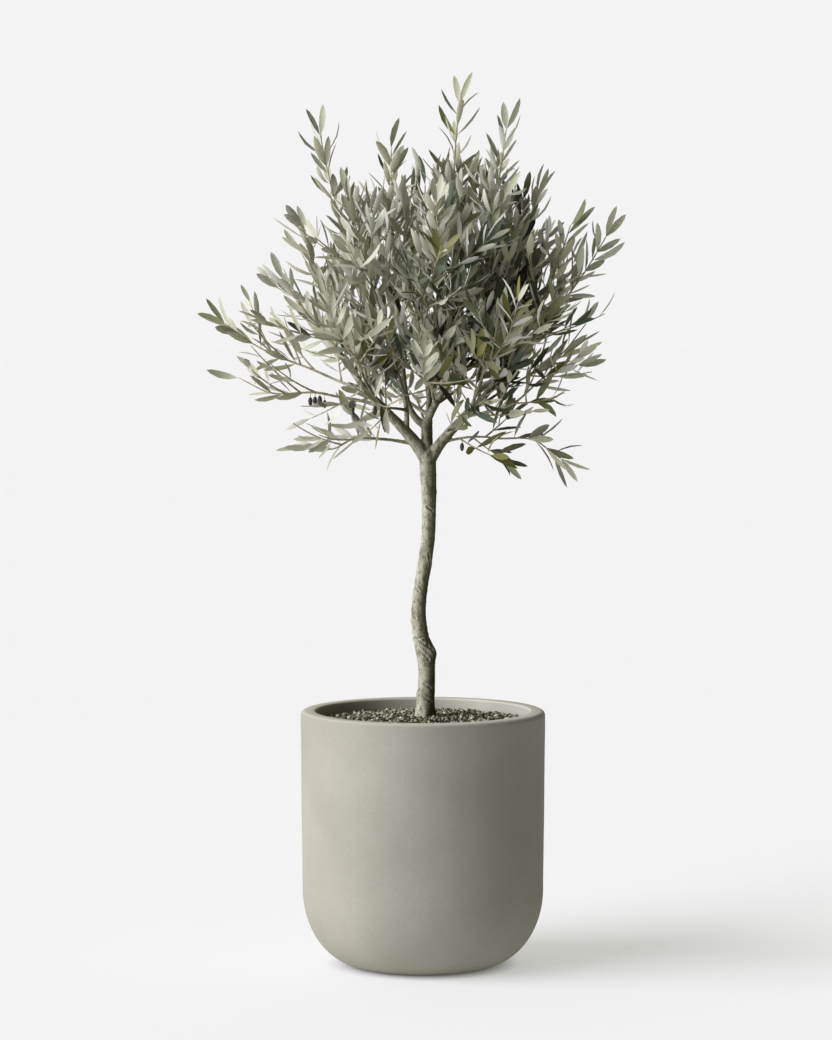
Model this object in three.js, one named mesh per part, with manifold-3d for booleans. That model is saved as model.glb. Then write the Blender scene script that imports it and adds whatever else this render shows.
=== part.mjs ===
// A young standard olive tree in a round-footed planter.
//
// Millimetres, +Z up. The origin is the centre of the planter's flat underside, +X is to the right and
// -Y is the front. Every sub-part is one closed solid: the planter, its fill of gritty soil, the trunk,
// each bough, each branch that a bough carries, and each mass of foliage that a limb ends in.
import * as THREE from 'three';
import { mergeVertices } from 'three/addons/utils/BufferGeometryUtils.js';
import Module from 'manifold-3d';

const wasm = await Module();
wasm.setup();

// ---------------------------------------------------------------- driving sizes

const CLEARANCE = 0.3; // between solids that rest on or grow from each other
const CUT_GAP = CLEARANCE * 1.2; // round a limb, where the limbs that meet it are cut away
const SLIVER = 0.03; // faces narrower than this, which a join or cut can leave, are merged away
const HANDLE = 0.36; // of a curve between two places, as a share of the distance it spans
const MEASURED = { limb: 24, stem: 8, sideShoot: 4 }; // straight pieces that distances are taken to

const POT = {
  height: 470,
  rimRadius: 225,
  footRadius: 222, // where the wall would meet the ground if the corner were sharp
  wall: 26,
  floor: 30,
  corner: { across: 107, up: 140 }, // the elliptical quarter that rounds the wall into the foot
  lipRound: 9,
  sides: 40,
};

const SOIL = {
  edgeHeight: 445,
  crownHeight: 456,
  landingRadius: 34, // of the flat that the trunk stands on
  shoulder: { out: 0.55, up: 0.6 }, // where the mound bends, as shares of its radius and its rise
  gaps: { side: CLEARANCE * 3, edge: CLEARANCE * 5, floor: CLEARANCE * 2 }, // to the planter's inside
  sides: 28,
};

// The trunk's axis and radius from the flat cut on the soil to the fork.
const TRUNK = {
  sides: 10,
  rings: 18,
  level: true,
  stations: [
    { z: SOIL.crownHeight + CLEARANCE, x: 4, y: 0, radius: 20 },
    { z: 484, x: 5, y: 0, radius: 16.8 },
    { z: 530, x: 7, y: 1, radius: 15.6 },
    { z: 576, x: 4, y: 3, radius: 17.4 },
    { z: 606, x: -4, y: 3, radius: 14.8 },
    { z: 645, x: -8, y: 2, radius: 13.4 },
    { z: 690, x: -5, y: 0, radius: 12.9 },
    { z: 745, x: 4, y: -3, radius: 12.8 },
    { z: 800, x: 10, y: -2, radius: 12.8 },
    { z: 860, x: 11, y: 0, radius: 13.4 },
    { z: 915, x: 9, y: 1, radius: 15.4 },
    { z: 946, x: 8, y: 2, radius: 15.8 },
  ],
};

// Each limb leaves its carrier at a share of the carrier's length, heads out along `heading`, and swings
// round to `rise` before it ends at `to`.
const BOUGH = { sides: 7, rings: 6 };
const BRANCH = { sides: 5, rings: 3 };
const LIMBS = [
  { name: 'bough_left', on: 'trunk', at: 0.965, form: BOUGH, radii: [12, 5],
    heading: [-0.5, 0, 0.87], to: [-132, -36, 1100], rise: [-0.5, -0.1, 0.86] },
  { name: 'bough_centre', on: 'trunk', at: 0.97, form: BOUGH, radii: [9.8, 8.6],
    heading: [-0.05, 0.05, 1], to: [5, 8, 996], rise: [0, 0, 1] },
  { name: 'bough_right', on: 'trunk', at: 0.955, form: BOUGH, radii: [10.8, 5],
    heading: [0.45, -0.05, 0.89], to: [146, -8, 1094], rise: [0.5, 0.1, 0.86] },
  { name: 'bough_back', on: 'trunk', at: 0.975, form: BOUGH, radii: [8.6, 4.4],
    heading: [0.05, 0.6, 0.8], to: [14, 98, 1096], rise: [0.05, 0.3, 0.95] },
  { name: 'bough_centre_left', on: 'bough_centre', at: 0.95, form: BOUGH, radii: [6.6, 3.8],
    heading: [-0.95, 0.2, 0.5], to: [-38, 28, 1126], rise: [-0.1, 0, 1] },
  { name: 'bough_centre_right', on: 'bough_centre', at: 0.98, form: BOUGH, radii: [7, 4],
    heading: [0.35, -0.2, 0.93], to: [74, -34, 1120], rise: [0.4, -0.1, 0.9] },
  { name: 'bough_left_inner', on: 'bough_left', at: 0.3, form: BOUGH, radii: [4.8, 3.2],
    heading: [0.15, -0.2, 0.97], to: [-52, -54, 1116], rise: [-0.2, -0.3, 0.93] },
  { name: 'branch_left_low', on: 'bough_left', at: 0.16, form: BRANCH, radii: [3.6, 2.4],
    heading: [-0.9, -0.1, 0.2], to: [-118, -26, 972], rise: [-1, -0.1, 0] },
  { name: 'branch_left_long', on: 'bough_left', at: 0.56, form: BRANCH, radii: [3.8, 2.4],
    heading: [-0.8, 0.1, 0.45], to: [-178, -16, 1052], rise: [-0.97, 0, 0.25] },
  { name: 'branch_left_high', on: 'bough_left', at: 0.76, form: BRANCH, radii: [3.6, 2.4],
    heading: [-0.9, 0.3, 0.3], to: [-180, 16, 1086], rise: [-0.9, 0.1, 0.42] },
  { name: 'branch_left_shoulder', on: 'bough_left', at: 0.88, form: BRANCH, radii: [3.6, 2.4],
    heading: [-0.2, 0.6, 0.75], to: [-142, 30, 1156], rise: [-0.3, 0.2, 0.93] },
  { name: 'branch_left_tall', on: 'bough_centre_left', at: 0.6, form: BRANCH, radii: [3.4, 2.4],
    heading: [-0.6, 0.2, 0.75], to: [-86, 34, 1156], rise: [-0.3, 0, 0.95] },
  { name: 'branch_front_left', on: 'bough_left', at: 0.66, form: BRANCH, radii: [3.6, 2.4],
    heading: [-0.1, -0.9, 0.4], to: [-112, -112, 1098], rise: [-0.15, -0.8, 0.6] },
  { name: 'branch_front_low', on: 'bough_centre_right', at: 0.3, form: BRANCH, radii: [3.6, 2.4],
    heading: [-0.1, -0.9, 0.3], to: [16, -104, 1060], rise: [-0.05, -0.9, 0.4] },
  { name: 'branch_front_low_left', on: 'bough_left_inner', at: 0.28, form: BRANCH, radii: [3.2, 2.3],
    heading: [-0.3, -0.9, 0.2], to: [-76, -76, 1034], rise: [-0.4, -0.85, 0.3] },
  { name: 'branch_front_low_right', on: 'bough_right', at: 0.3, form: BRANCH, radii: [3.2, 2.3],
    heading: [0.1, -0.95, 0.1], to: [80, -70, 1012], rise: [0.4, -0.85, 0.3] },
  { name: 'branch_front_high', on: 'bough_left_inner', at: 0.8, form: BRANCH, radii: [3, 2.3],
    heading: [0.6, -0.4, 0.7], to: [-6, -94, 1150], rise: [0.2, -0.45, 0.88] },
  { name: 'branch_front_right', on: 'bough_right', at: 0.58, form: BRANCH, radii: [3.6, 2.4],
    heading: [0, -0.9, 0.35], to: [104, -106, 1080], rise: [0.1, -0.85, 0.55] },
  { name: 'branch_top_back', on: 'bough_back', at: 0.74, form: BRANCH, radii: [3.4, 2.4],
    heading: [-0.1, -0.5, 0.85], to: [6, 66, 1160], rise: [0, 0.05, 1] },
  { name: 'branch_top_tall', on: 'bough_centre_right', at: 0.62, form: BRANCH, radii: [3.4, 2.4],
    heading: [-0.15, 0.5, 0.85], to: [48, 6, 1170], rise: [0.1, 0, 1] },
  { name: 'branch_right_high', on: 'bough_right', at: 0.68, form: BRANCH, radii: [3.6, 2.4],
    heading: [-0.1, 0.7, 0.7], to: [130, 56, 1144], rise: [0.25, 0.1, 0.97] },
  { name: 'branch_right_long', on: 'bough_right', at: 0.86, form: BRANCH, radii: [3.6, 2.4],
    heading: [0.7, 0.3, 0.65], to: [196, 20, 1140], rise: [0.55, 0, 0.83] },
  { name: 'branch_right_mid', on: 'bough_right', at: 0.6, form: BRANCH, radii: [3.6, 2.4],
    heading: [0.75, 0.6, 0.3], to: [160, 58, 1064], rise: [0.85, 0.2, 0.5] },
  { name: 'branch_right_side', on: 'bough_right', at: 0.5, form: BRANCH, radii: [3.6, 2.4],
    heading: [0.8, -0.6, 0.2], to: [150, -48, 1030], rise: [0.95, -0.2, 0.3] },
  { name: 'branch_right_drop', on: 'bough_right', at: 0.2, form: BRANCH, radii: [2.8, 2.1],
    heading: [0.93, -0.1, 0.3], to: [128, -20, 972], rise: [0.97, 0, -0.15] },
  { name: 'branch_back_low', on: 'bough_back', at: 0.3, form: BRANCH, radii: [3.2, 2.3],
    heading: [-0.2, 0.9, 0.2], to: [-10, 118, 1034], rise: [-0.2, 0.9, 0.3] },
  { name: 'branch_back_left', on: 'bough_back', at: 0.5, form: BRANCH, radii: [3.8, 2.4],
    heading: [-0.75, 0.5, 0.4], to: [-82, 118, 1080], rise: [-0.6, 0.6, 0.5] },
  { name: 'branch_back_right', on: 'bough_back', at: 0.58, form: BRANCH, radii: [3.8, 2.4],
    heading: [0.75, 0.5, 0.4], to: [100, 124, 1086], rise: [0.6, 0.6, 0.5] },
];

// Each mass grows from the tip of a limb to the tip of its leading shoot, and `rise` is the way that
// shoot points at its end. `fruit` counts the olives that hang under the stem near its foot.
const MASSES = [
  { name: 'foliage_left_low', on: 'branch_left_low',
    tip: [-264, -40, 962], rise: [-0.95, 0, 0.1] },
  { name: 'foliage_left_long', on: 'branch_left_long',
    tip: [-378, -20, 1104], rise: [-0.85, 0, 0.45], fruit: 3 },
  { name: 'foliage_left_high', on: 'branch_left_high',
    tip: [-402, 30, 1209], rise: [-0.8, 0, 0.6] },
  { name: 'foliage_left_crown', on: 'bough_left',
    tip: [-281, -50, 1301], rise: [-0.55, 0, 0.83] },
  { name: 'foliage_left_shoulder', on: 'branch_left_shoulder',
    tip: [-239, 60, 1400], rise: [-0.3, 0, 0.95] },
  { name: 'foliage_left_tall', on: 'branch_left_tall',
    tip: [-197, 10, 1569], rise: [-0.2, 0, 0.98] },
  { name: 'foliage_front_left_top', on: 'bough_left_inner',
    tip: [-140, -120, 1448], rise: [-0.2, -0.1, 0.97] },
  { name: 'foliage_top_left', on: 'bough_centre_left',
    tip: [-58, -20, 1546], rise: [0, 0, 1] },
  { name: 'foliage_top_back', on: 'branch_top_back',
    tip: [4, 110, 1482], rise: [0, 0.1, 1] },
  { name: 'foliage_top_tall', on: 'branch_top_tall',
    tip: [71, 10, 1627], rise: [0.1, 0, 1] },
  { name: 'foliage_top_right', on: 'bough_centre_right',
    tip: [158, -40, 1579], rise: [0.15, 0, 0.98] },
  { name: 'foliage_right_high', on: 'branch_right_high',
    tip: [226, 70, 1465], rise: [0.3, 0, 0.95] },
  { name: 'foliage_right_crown', on: 'bough_right',
    tip: [281, -60, 1404], rise: [0.3, 0, 0.95] },
  { name: 'foliage_right_long', on: 'branch_right_long',
    tip: [359, 20, 1380], rise: [0.5, 0, 0.86] },
  { name: 'foliage_right_mid', on: 'branch_right_mid',
    tip: [330, 80, 1217], rise: [0.6, 0, 0.8] },
  { name: 'foliage_right_side', on: 'branch_right_side',
    tip: [326, -50, 1120], rise: [0.95, 0, 0.3], fruit: 2 },
  { name: 'foliage_right_drop', on: 'branch_right_drop',
    tip: [289, -20, 906], rise: [0.8, 0, -0.6] },
  { name: 'foliage_front_left', on: 'branch_front_left',
    tip: [-180, -292, 1270], rise: [-0.2, -0.5, 0.8] },
  { name: 'foliage_front_low', on: 'branch_front_low',
    tip: [0, -330, 1150], rise: [0, -0.85, 0.5] },
  { name: 'foliage_front_low_left', on: 'branch_front_low_left',
    tip: [-150, -226, 1090], rise: [-0.4, -0.8, 0.3], fruit: 2 },
  { name: 'foliage_front_low_right', on: 'branch_front_low_right',
    tip: [132, -236, 1060], rise: [0.3, -0.9, 0.2] },
  { name: 'foliage_front_high', on: 'branch_front_high',
    tip: [24, -230, 1440], rise: [0, -0.3, 0.95] },
  { name: 'foliage_front_right', on: 'branch_front_right',
    tip: [176, -296, 1260], rise: [0.2, -0.5, 0.8] },
  { name: 'foliage_back_low', on: 'branch_back_low',
    tip: [-40, 280, 1090], rise: [-0.1, 0.9, 0.3] },
  { name: 'foliage_back_left', on: 'branch_back_left',
    tip: [-192, 292, 1290], rise: [-0.2, 0.5, 0.8] },
  { name: 'foliage_back', on: 'bough_back',
    tip: [-6, 340, 1260], rise: [0, 0.7, 0.7] },
  { name: 'foliage_back_right', on: 'branch_back_right',
    tip: [192, 296, 1280], rise: [0.2, 0.5, 0.8] },
];

// Side shoots and their leaves keep within the crown's round body. Only the leading shoots leave it.
const CROWN = { centre: [-18, 0, 1190], across: [384, 352], above: 350, below: 345 };

// How a mass grows. A leaf here stands for a small spray, so it is larger than an olive's own 50 mm.
const SHOOT = {
  sides: 3,
  stemRadii: [3, 2.3],
  sideRadii: [1.4, 1.2],
  stemRings: 4,
  sideRings: 2,
  spacing: 28, // between side shoots along their stem
  from: 0.03, // the shares of the stem that carry them
  to: 0.72,
  splay: 0.85, // radians between a side shoot and its stem
  lengths: [118, 70], // at the stem's foot and at its tip
  lengthSpread: [0.85, 1.15],
  reach: 0.7, // how much of a leaf may pass the side shoot's tip before it leaves the crown
  lift: 0.3, // how far a side shoot turns upwards
  turns: 10, // the ways round its stem that a side shoot chooses from
};
const LEAF = {
  length: 94,
  lengthSpread: [0.85, 1.1],
  width: 24,
  thickness: 2.8,
  widest: 0.5, // share of the length
  probes: [0.3, 0.5, 0.8, 1], // the shares of the length at which its room is checked
  probeWidths: [0.6, 1, 0.4, 0.05], // and its width there, as a share of the widest
  splay: 0.62, // radians between a leaf and its shoot
  lift: 0.22,
  sunk: 0.5, // how far past the shoot's axis its root reaches, as a share of the shoot's radius
  tipSunk: 2.5, // how far the last leaf's root lies inside the shoot's tip
  apart: 1.5, // kept between two leaves of a mass
  stemPairs: 4,
  stemFrom: 0.5,
  sidePairs: 2,
  sideFrom: 0.2,
  to: 0.94, // the share of a shoot that carries the last pair
};
const FRUIT = { length: 17, width: 9, sunk: 1.5, from: 0.12, step: 0.14, sides: 6, rings: 4 };
const FIRST_SEED = 101; // of the first mass, and each mass after it takes the next
const SPACE_MARGIN = 0.6; // kept between a mass and the next one's space
const LIMB_MARGIN = 1; // kept between a leaf or twig and a limb

// ---------------------------------------------------------------- finishes

const FINISHES = {
  pot: new THREE.MeshStandardMaterial({ color: 0x98968a, roughness: 0.85, metalness: 0 }),
  soil: new THREE.MeshStandardMaterial({ color: 0x6c6a58, roughness: 1, metalness: 0 }),
  bark: new THREE.MeshStandardMaterial({ color: 0x9a9781, roughness: 0.9, metalness: 0 }),
  foliage: new THREE.MeshStandardMaterial({ color: 0x7c8273, roughness: 0.7, metalness: 0 }),
};

// ---------------------------------------------------------------- small helpers

const UP = new THREE.Vector3(0, 0, 1);
const vector = ([x, y, z]) => new THREE.Vector3(x, y, z);
const mix = THREE.MathUtils.lerp;

/** A repeatable source of numbers from 0 to 1. */
function seededRandom(seed) {
  let state = seed >>> 0;
  return () => {
    state = (Math.imul(1664525, state) + 1013904223) >>> 0;
    return state / 4294967296;
  };
}

/** The nearest distance from a point to a run of points joined by straight lines. */
function distanceToLine(point, line) {
  const nearest = new THREE.Vector3();
  const segment = new THREE.Line3();
  let least = Infinity;
  for (let i = 1; i < line.length; i += 1) {
    segment.set(line[i - 1], line[i]);
    segment.closestPointToPoint(point, true, nearest);
    least = Math.min(least, nearest.distanceTo(point));
  }
  return least;
}

/** The clear distance from a point to a limb's surface. */
function distanceToLimb(point, { line, radiusAt }) {
  const gaps = line.map((place, i) => place.distanceTo(point) - radiusAt(i / (line.length - 1)));
  return Math.min(...gaps);
}

// ---------------------------------------------------------------- solids and meshes

/** A closed geometry as a manifold-3d solid, with shared vertices merged and flat triangles dropped. */
function solidFrom(geometry) {
  const bare = geometry.clone();
  bare.deleteAttribute('normal');
  bare.deleteAttribute('uv');
  const merged = mergeVertices(bare, 1e-3);
  const corners = [];
  for (let i = 0; i < merged.index.count; i += 3) {
    const [a, b, c] = [0, 1, 2].map((k) => merged.index.getX(i + k));
    if (a !== b && b !== c && c !== a) corners.push(a, b, c);
  }
  return new wasm.Manifold(new wasm.Mesh({
    numProp: 3,
    vertProperties: new Float32Array(merged.attributes.position.array),
    triVerts: new Uint32Array(corners),
  }));
}

/** A solid's outer shell as a geometry. Loose scraps, sealed hollows and slivers of faces are dropped. */
function geometryFrom(solid) {
  const largest = solid.decompose().reduce((a, b) => (b.volume() > a.volume() ? b : a));
  const mesh = largest.simplify(SLIVER).getMesh();
  const geometry = new THREE.BufferGeometry();
  geometry.setAttribute('position', new THREE.BufferAttribute(mesh.vertProperties, mesh.numProp));
  geometry.setIndex(new THREE.BufferAttribute(mesh.triVerts, 1));
  geometry.computeVertexNormals();
  return geometry;
}

/** A named mesh in the tree's group. */
function addMesh(group, name, geometry, finish) {
  const mesh = new THREE.Mesh(geometry, finish);
  mesh.name = name;
  group.add(mesh);
}

/** A solid of revolution about +Z from a half profile of [radius, height] pairs. */
function turned(profile, sides) {
  const points = profile.map(([radius, height]) => new THREE.Vector2(radius, height));
  return new THREE.LatheGeometry(points, sides).rotateX(Math.PI / 2);
}

/**
 * A closed tube that tapers along a curve, with flat ends. `radiusAt` takes a share of the length. The
 * rings are square to the curve, or level with the ground.
 */
function taperedTube(curve, radiusAt, { sides, rings, level = false }) {
  const frames = curve.computeFrenetFrames(rings, false);
  if (level) {
    frames.normals.forEach((normal) => normal.set(1, 0, 0));
    frames.binormals.forEach((binormal) => binormal.set(0, 1, 0));
  }
  const positions = [];
  for (let ring = 0; ring <= rings; ring += 1) {
    const share = ring / rings;
    const centre = curve.getPointAt(share);
    for (let side = 0; side < sides; side += 1) {
      const turn = (side / sides) * 2 * Math.PI;
      const rim = centre.clone()
        .addScaledVector(frames.normals[ring], Math.cos(turn) * radiusAt(share))
        .addScaledVector(frames.binormals[ring], Math.sin(turn) * radiusAt(share));
      positions.push(rim.x, rim.y, rim.z);
    }
  }
  const corners = [];
  for (let ring = 0; ring < rings; ring += 1) {
    for (let side = 0; side < sides; side += 1) {
      const next = (side + 1) % sides;
      const [a, b] = [ring * sides + side, ring * sides + next];
      corners.push(a, b, b + sides, a, b + sides, a + sides);
    }
  }
  const last = rings * sides;
  for (let side = 1; side < sides - 1; side += 1) {
    corners.push(0, side + 1, side, last, last + side, last + side + 1);
  }
  const geometry = new THREE.BufferGeometry();
  geometry.setAttribute('position', new THREE.Float32BufferAttribute(positions, 3));
  geometry.setIndex(corners);
  return geometry;
}

// ---------------------------------------------------------------- planter and soil

/** The elliptical quarter between the foot and the wall, set in by `inset`, as [radius, height] pairs. */
function cornerProfile(inset, steps) {
  const { across, up } = POT.corner;
  return Array.from({ length: steps + 1 }, (_, i) => {
    const turn = (i / steps) * (Math.PI / 2);
    return [
      POT.footRadius - across + (across - inset) * Math.sin(turn),
      up - (up - inset) * Math.cos(turn),
    ];
  });
}

/** A half round over the rim, from its outside to its inside. */
function lipProfile(steps) {
  const outer = POT.rimRadius - POT.lipRound;
  const inner = POT.rimRadius - POT.wall + POT.lipRound;
  return Array.from({ length: steps + 1 }, (_, i) => {
    const turn = (i / steps) * Math.PI;
    const centre = turn < Math.PI / 2 ? outer : inner;
    const radius = turn === Math.PI / 2 ? (outer + inner) / 2 : centre + POT.lipRound * Math.cos(turn);
    return [radius, POT.height - POT.lipRound + POT.lipRound * Math.sin(turn)];
  });
}

function potGeometry() {
  const inside = cornerProfile(POT.wall, 4).reverse();
  inside[inside.length - 1][1] = POT.floor;
  return turned([
    [0, 0],
    ...cornerProfile(0, 6),
    ...lipProfile(4),
    ...inside,
    [0, POT.floor],
  ], POT.sides);
}

/** The fill follows the planter's inside and rises a little from its edge to the trunk's foot. */
function soilGeometry() {
  const { edgeHeight, crownHeight, landingRadius, shoulder, gaps } = SOIL;
  const side = cornerProfile(POT.wall + gaps.side, 4);
  side[0][1] = POT.floor + gaps.floor;
  const edgeRadius = POT.rimRadius - POT.wall - gaps.edge;
  return turned([
    [0, side[0][1]],
    ...side,
    [edgeRadius, edgeHeight],
    [edgeRadius * shoulder.out, mix(edgeHeight, crownHeight, shoulder.up)],
    [landingRadius, crownHeight],
    [0, crownHeight],
  ], SOIL.sides);
}

// ---------------------------------------------------------------- trunk and limbs

/** The trunk's curve through its stations. */
function trunkCurve() {
  return new THREE.CatmullRomCurve3(TRUNK.stations.map(({ x, y, z }) => new THREE.Vector3(x, y, z)));
}

/** The trunk's radius at a share of its length, from the stations either side of that height. */
function trunkRadiusAt(share) {
  const { stations } = TRUNK;
  const height = mix(stations[0].z, stations.at(-1).z, share);
  const above = Math.max(1, stations.findIndex(({ z }) => z >= height));
  const [low, high] = [stations[above - 1], stations[above]];
  return mix(low.radius, high.radius, (height - low.z) / (high.z - low.z));
}

/** A curve that leaves `from` along `heading` and arrives at `to` along `rise`. */
function sweep(from, heading, to, rise) {
  const handle = from.distanceTo(to) * HANDLE;
  return new THREE.CubicBezierCurve3(
    from,
    from.clone().addScaledVector(heading.clone().normalize(), handle),
    to.clone().addScaledVector(rise.clone().normalize(), -handle),
    to,
  );
}

/** A limb's curve, radius and solid, and a slightly fatter solid that its neighbours are cut by. */
function makeLimb(name, curve, radiusAt, form) {
  const solid = solidFrom(taperedTube(curve, radiusAt, form));
  const fatter = solidFrom(taperedTube(curve, (share) => radiusAt(share) + CUT_GAP, form));
  return { name, curve, radiusAt, solid, fatter, line: curve.getSpacedPoints(MEASURED.limb) };
}

/** The trunk and every limb, each cut clear of those made before it. */
function growLimbs() {
  const trunk = makeLimb('trunk', trunkCurve(), trunkRadiusAt, TRUNK);
  const limbs = [trunk];
  let made = trunk.fatter;
  for (const { name, on, at, heading, to, rise, radii, form } of LIMBS) {
    const from = limbs.find((limb) => limb.name === on).curve.getPointAt(at);
    const curve = sweep(from, vector(heading), vector(to), vector(rise));
    const limb = makeLimb(name, curve, (share) => mix(radii[0], radii[1], share), form);
    limb.solid = limb.solid.subtract(made);
    made = made.add(limb.fatter);
    limbs.push(limb);
  }
  return limbs;
}

// ---------------------------------------------------------------- foliage

/** A leaf of six faces from its root to its tip: flat below, and ridged above along its midrib. */
function leafSolid(root, tip, face) {
  const along = tip.clone().sub(root);
  const across = along.clone().cross(face).normalize();
  const above = across.clone().cross(along).normalize();
  const middle = root.clone().addScaledVector(along, LEAF.widest);
  const geometry = new THREE.BufferGeometry().setFromPoints([
    root,
    tip,
    middle.clone().addScaledVector(across, LEAF.width / 2),
    middle.clone().addScaledVector(across, -LEAF.width / 2),
    middle.clone().addScaledVector(above, LEAF.thickness),
  ]);
  geometry.setIndex([0, 2, 4, 0, 4, 3, 0, 3, 2, 1, 4, 2, 1, 3, 4, 1, 2, 3]);
  return solidFrom(geometry);
}

/** A unit vector square to `direction`, turned about it by `turn`. */
function sideways(direction, turn) {
  const reference = Math.abs(direction.z) < 0.9 ? UP : new THREE.Vector3(1, 0, 0);
  return reference.clone().cross(direction).normalize().applyAxisAngle(direction, turn);
}

/** Whether a point lies in the crown's round body. */
function inCrown(point) {
  const [x, y, z] = point.toArray().map((value, axis) => value - CROWN.centre[axis]);
  const height = z > 0 ? CROWN.above : CROWN.below;
  return Math.hypot(x / CROWN.across[0], y / CROWN.across[1], z / height) < 1;
}

/** The shoots of a mass: its stem, and side shoots that each turn to the side with the most room. */
function growShoots(mass, masses, limbs, random) {
  const { curve: stem, line } = mass;
  const shoots = [{ curve: stem, line, radii: SHOOT.stemRadii, rings: SHOOT.stemRings, leads: true }];
  const taken = [...masses, ...limbs].map((neighbour) => neighbour.line);
  const count = Math.round((stem.getLength() * (SHOOT.to - SHOOT.from)) / SHOOT.spacing);
  for (let i = 0; i < count; i += 1) {
    const share = mix(SHOOT.from, SHOOT.to, (i + 0.5) / count);
    const length = mix(...SHOOT.lengths, share) * mix(...SHOOT.lengthSpread, random());
    const start = random();
    let best = { room: 0 };
    for (let turn = 0; turn < SHOOT.turns; turn += 1) {
      const curve = sideShoot(stem, share, ((start + turn) / SHOOT.turns) * 2 * Math.PI, length);
      const points = curve.getSpacedPoints(MEASURED.sideShoot);
      const end = points.at(-1);
      const reach = end.clone().addScaledVector(curve.getTangentAt(1), LEAF.length * SHOOT.reach);
      const room = Math.min(...taken.map((other) => distanceToLine(end, other)));
      const clear = points.slice(1).every((point) => fits(point, SHOOT.sideRadii[0], mass, masses, limbs));
      if (room > best.room && inCrown(reach) && clear) best = { room, curve, line: points };
    }
    if (best.curve) {
      shoots.push({ ...best, radii: SHOOT.sideRadii, rings: SHOOT.sideRings, leads: false });
      taken.push(best.line);
    }
  }
  return shoots;
}

/** The curve of a shoot that leaves its stem at a share of its length, on the side that `turn` gives. */
function sideShoot(stem, share, turn, length) {
  const from = stem.getPointAt(share);
  const along = stem.getTangentAt(share);
  const heading = along.clone().multiplyScalar(Math.cos(SHOOT.splay))
    .addScaledVector(sideways(along, turn), Math.sin(SHOOT.splay));
  const rise = heading.clone().addScaledVector(UP, SHOOT.lift).normalize();
  const to = from.clone().addScaledVector(heading.clone().add(rise).normalize(), length);
  return sweep(from, heading, to, rise);
}

/** The leaves of a shoot: opposite pairs, each a quarter turn from the last, and one at its tip. */
function growLeaves({ curve, radii, leads }, random) {
  const pairs = leads ? LEAF.stemPairs : LEAF.sidePairs;
  const first = leads ? LEAF.stemFrom : LEAF.sideFrom;
  const leaves = [];
  const start = random() * Math.PI;
  for (let pair = 0; pair < pairs; pair += 1) {
    const share = mix(first, LEAF.to, (pair + 0.5) / pairs);
    const along = curve.getTangentAt(share);
    for (const half of [0, Math.PI]) {
      const out = sideways(along, start + pair * (Math.PI / 2) + half);
      const heading = along.clone().multiplyScalar(Math.cos(LEAF.splay))
        .addScaledVector(out, Math.sin(LEAF.splay))
        .addScaledVector(UP, LEAF.lift)
        .normalize();
      const root = curve.getPointAt(share).addScaledVector(heading, -LEAF.sunk * mix(...radii, share));
      const length = LEAF.length * mix(...LEAF.lengthSpread, random());
      const tip = root.clone().addScaledVector(heading, length);
      leaves.push({ root, tip, face: along });
    }
  }
  const along = curve.getTangentAt(1);
  const root = curve.getPointAt(1).addScaledVector(along, -LEAF.tipSunk);
  const tip = root.clone().addScaledVector(along, LEAF.length);
  leaves.push({ root, tip, face: sideways(along, start) });
  return leaves;
}

/** An olive that hangs with its top sunk in a shoot. */
function fruitSolid(foot) {
  const radius = FRUIT.width / 2;
  const geometry = new THREE.SphereGeometry(radius, FRUIT.sides, FRUIT.rings)
    .rotateX(Math.PI / 2)
    .scale(1, 1, FRUIT.length / FRUIT.width)
    .translate(foot.x, foot.y, foot.z - FRUIT.length / 2 + FRUIT.sunk);
  return solidFrom(geometry);
}

/** Whether a place of some width lies in the mass's own space and clear of every limb. */
function fits(point, halfWidth, mass, masses, limbs) {
  const own = distanceToLine(point, mass.line);
  const inSpace = masses.every((other) => other === mass
    || distanceToLine(point, other.line) - own > 2 * (halfWidth + SPACE_MARGIN));
  return inSpace && limbs.every((limb) => distanceToLimb(point, limb) > halfWidth + LIMB_MARGIN);
}

/** One mass of foliage as a single solid. A leaf that would touch a neighbour is left out. */
function massSolid(mass, masses, limbs) {
  const random = seededRandom(mass.seed);
  const shoots = growShoots(mass, masses, limbs, random);
  const blades = [];
  let solid = null;
  for (const shoot of shoots) {
    const { curve, radii, rings, leads } = shoot;
    const twig = solidFrom(taperedTube(curve, (share) => mix(radii[0], radii[1], share),
      { sides: SHOOT.sides, rings }));
    solid = solid ? solid.add(twig) : twig;
    const others = shoots.filter((other) => other !== shoot).map(({ line }) => line);
    for (const { root, tip, face } of growLeaves(shoot, random)) {
      const blade = LEAF.probes.map((share) => root.clone().lerp(tip, share));
      const halves = LEAF.probeWidths.map((share) => share * (LEAF.width / 2));
      const clear = blade.every((point, k) => (
        fits(point, halves[k], mass, masses, limbs)
        && [...others, ...blades].every((line) => distanceToLine(point, line) > halves[k] + LEAF.apart)));
      if (!clear || !(leads || inCrown(tip))) continue;
      solid = solid.add(leafSolid(root, tip, face));
      blades.push(blade);
    }
  }
  for (let i = 0; i < mass.fruit; i += 1) {
    solid = solid.add(fruitSolid(mass.curve.getPointAt(FRUIT.from + i * FRUIT.step)));
  }
  return solid;
}

/** Each mass's stem: from a clearance past the limb's tip to where its last leaf begins. */
function placeMasses(limbs) {
  return MASSES.map(({ name, on, tip, rise, fruit = 0 }, index) => {
    const carrier = limbs.find((limb) => limb.name === on).curve;
    const heading = carrier.getTangentAt(1);
    const from = carrier.getPointAt(1).addScaledVector(heading, CLEARANCE);
    const end = vector(tip).addScaledVector(vector(rise).normalize(), LEAF.tipSunk - LEAF.length);
    const curve = sweep(from, heading, end, vector(rise));
    return { name, curve, fruit, line: curve.getSpacedPoints(MEASURED.stem), seed: FIRST_SEED + index };
  });
}

// ---------------------------------------------------------------- the whole plant

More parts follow.
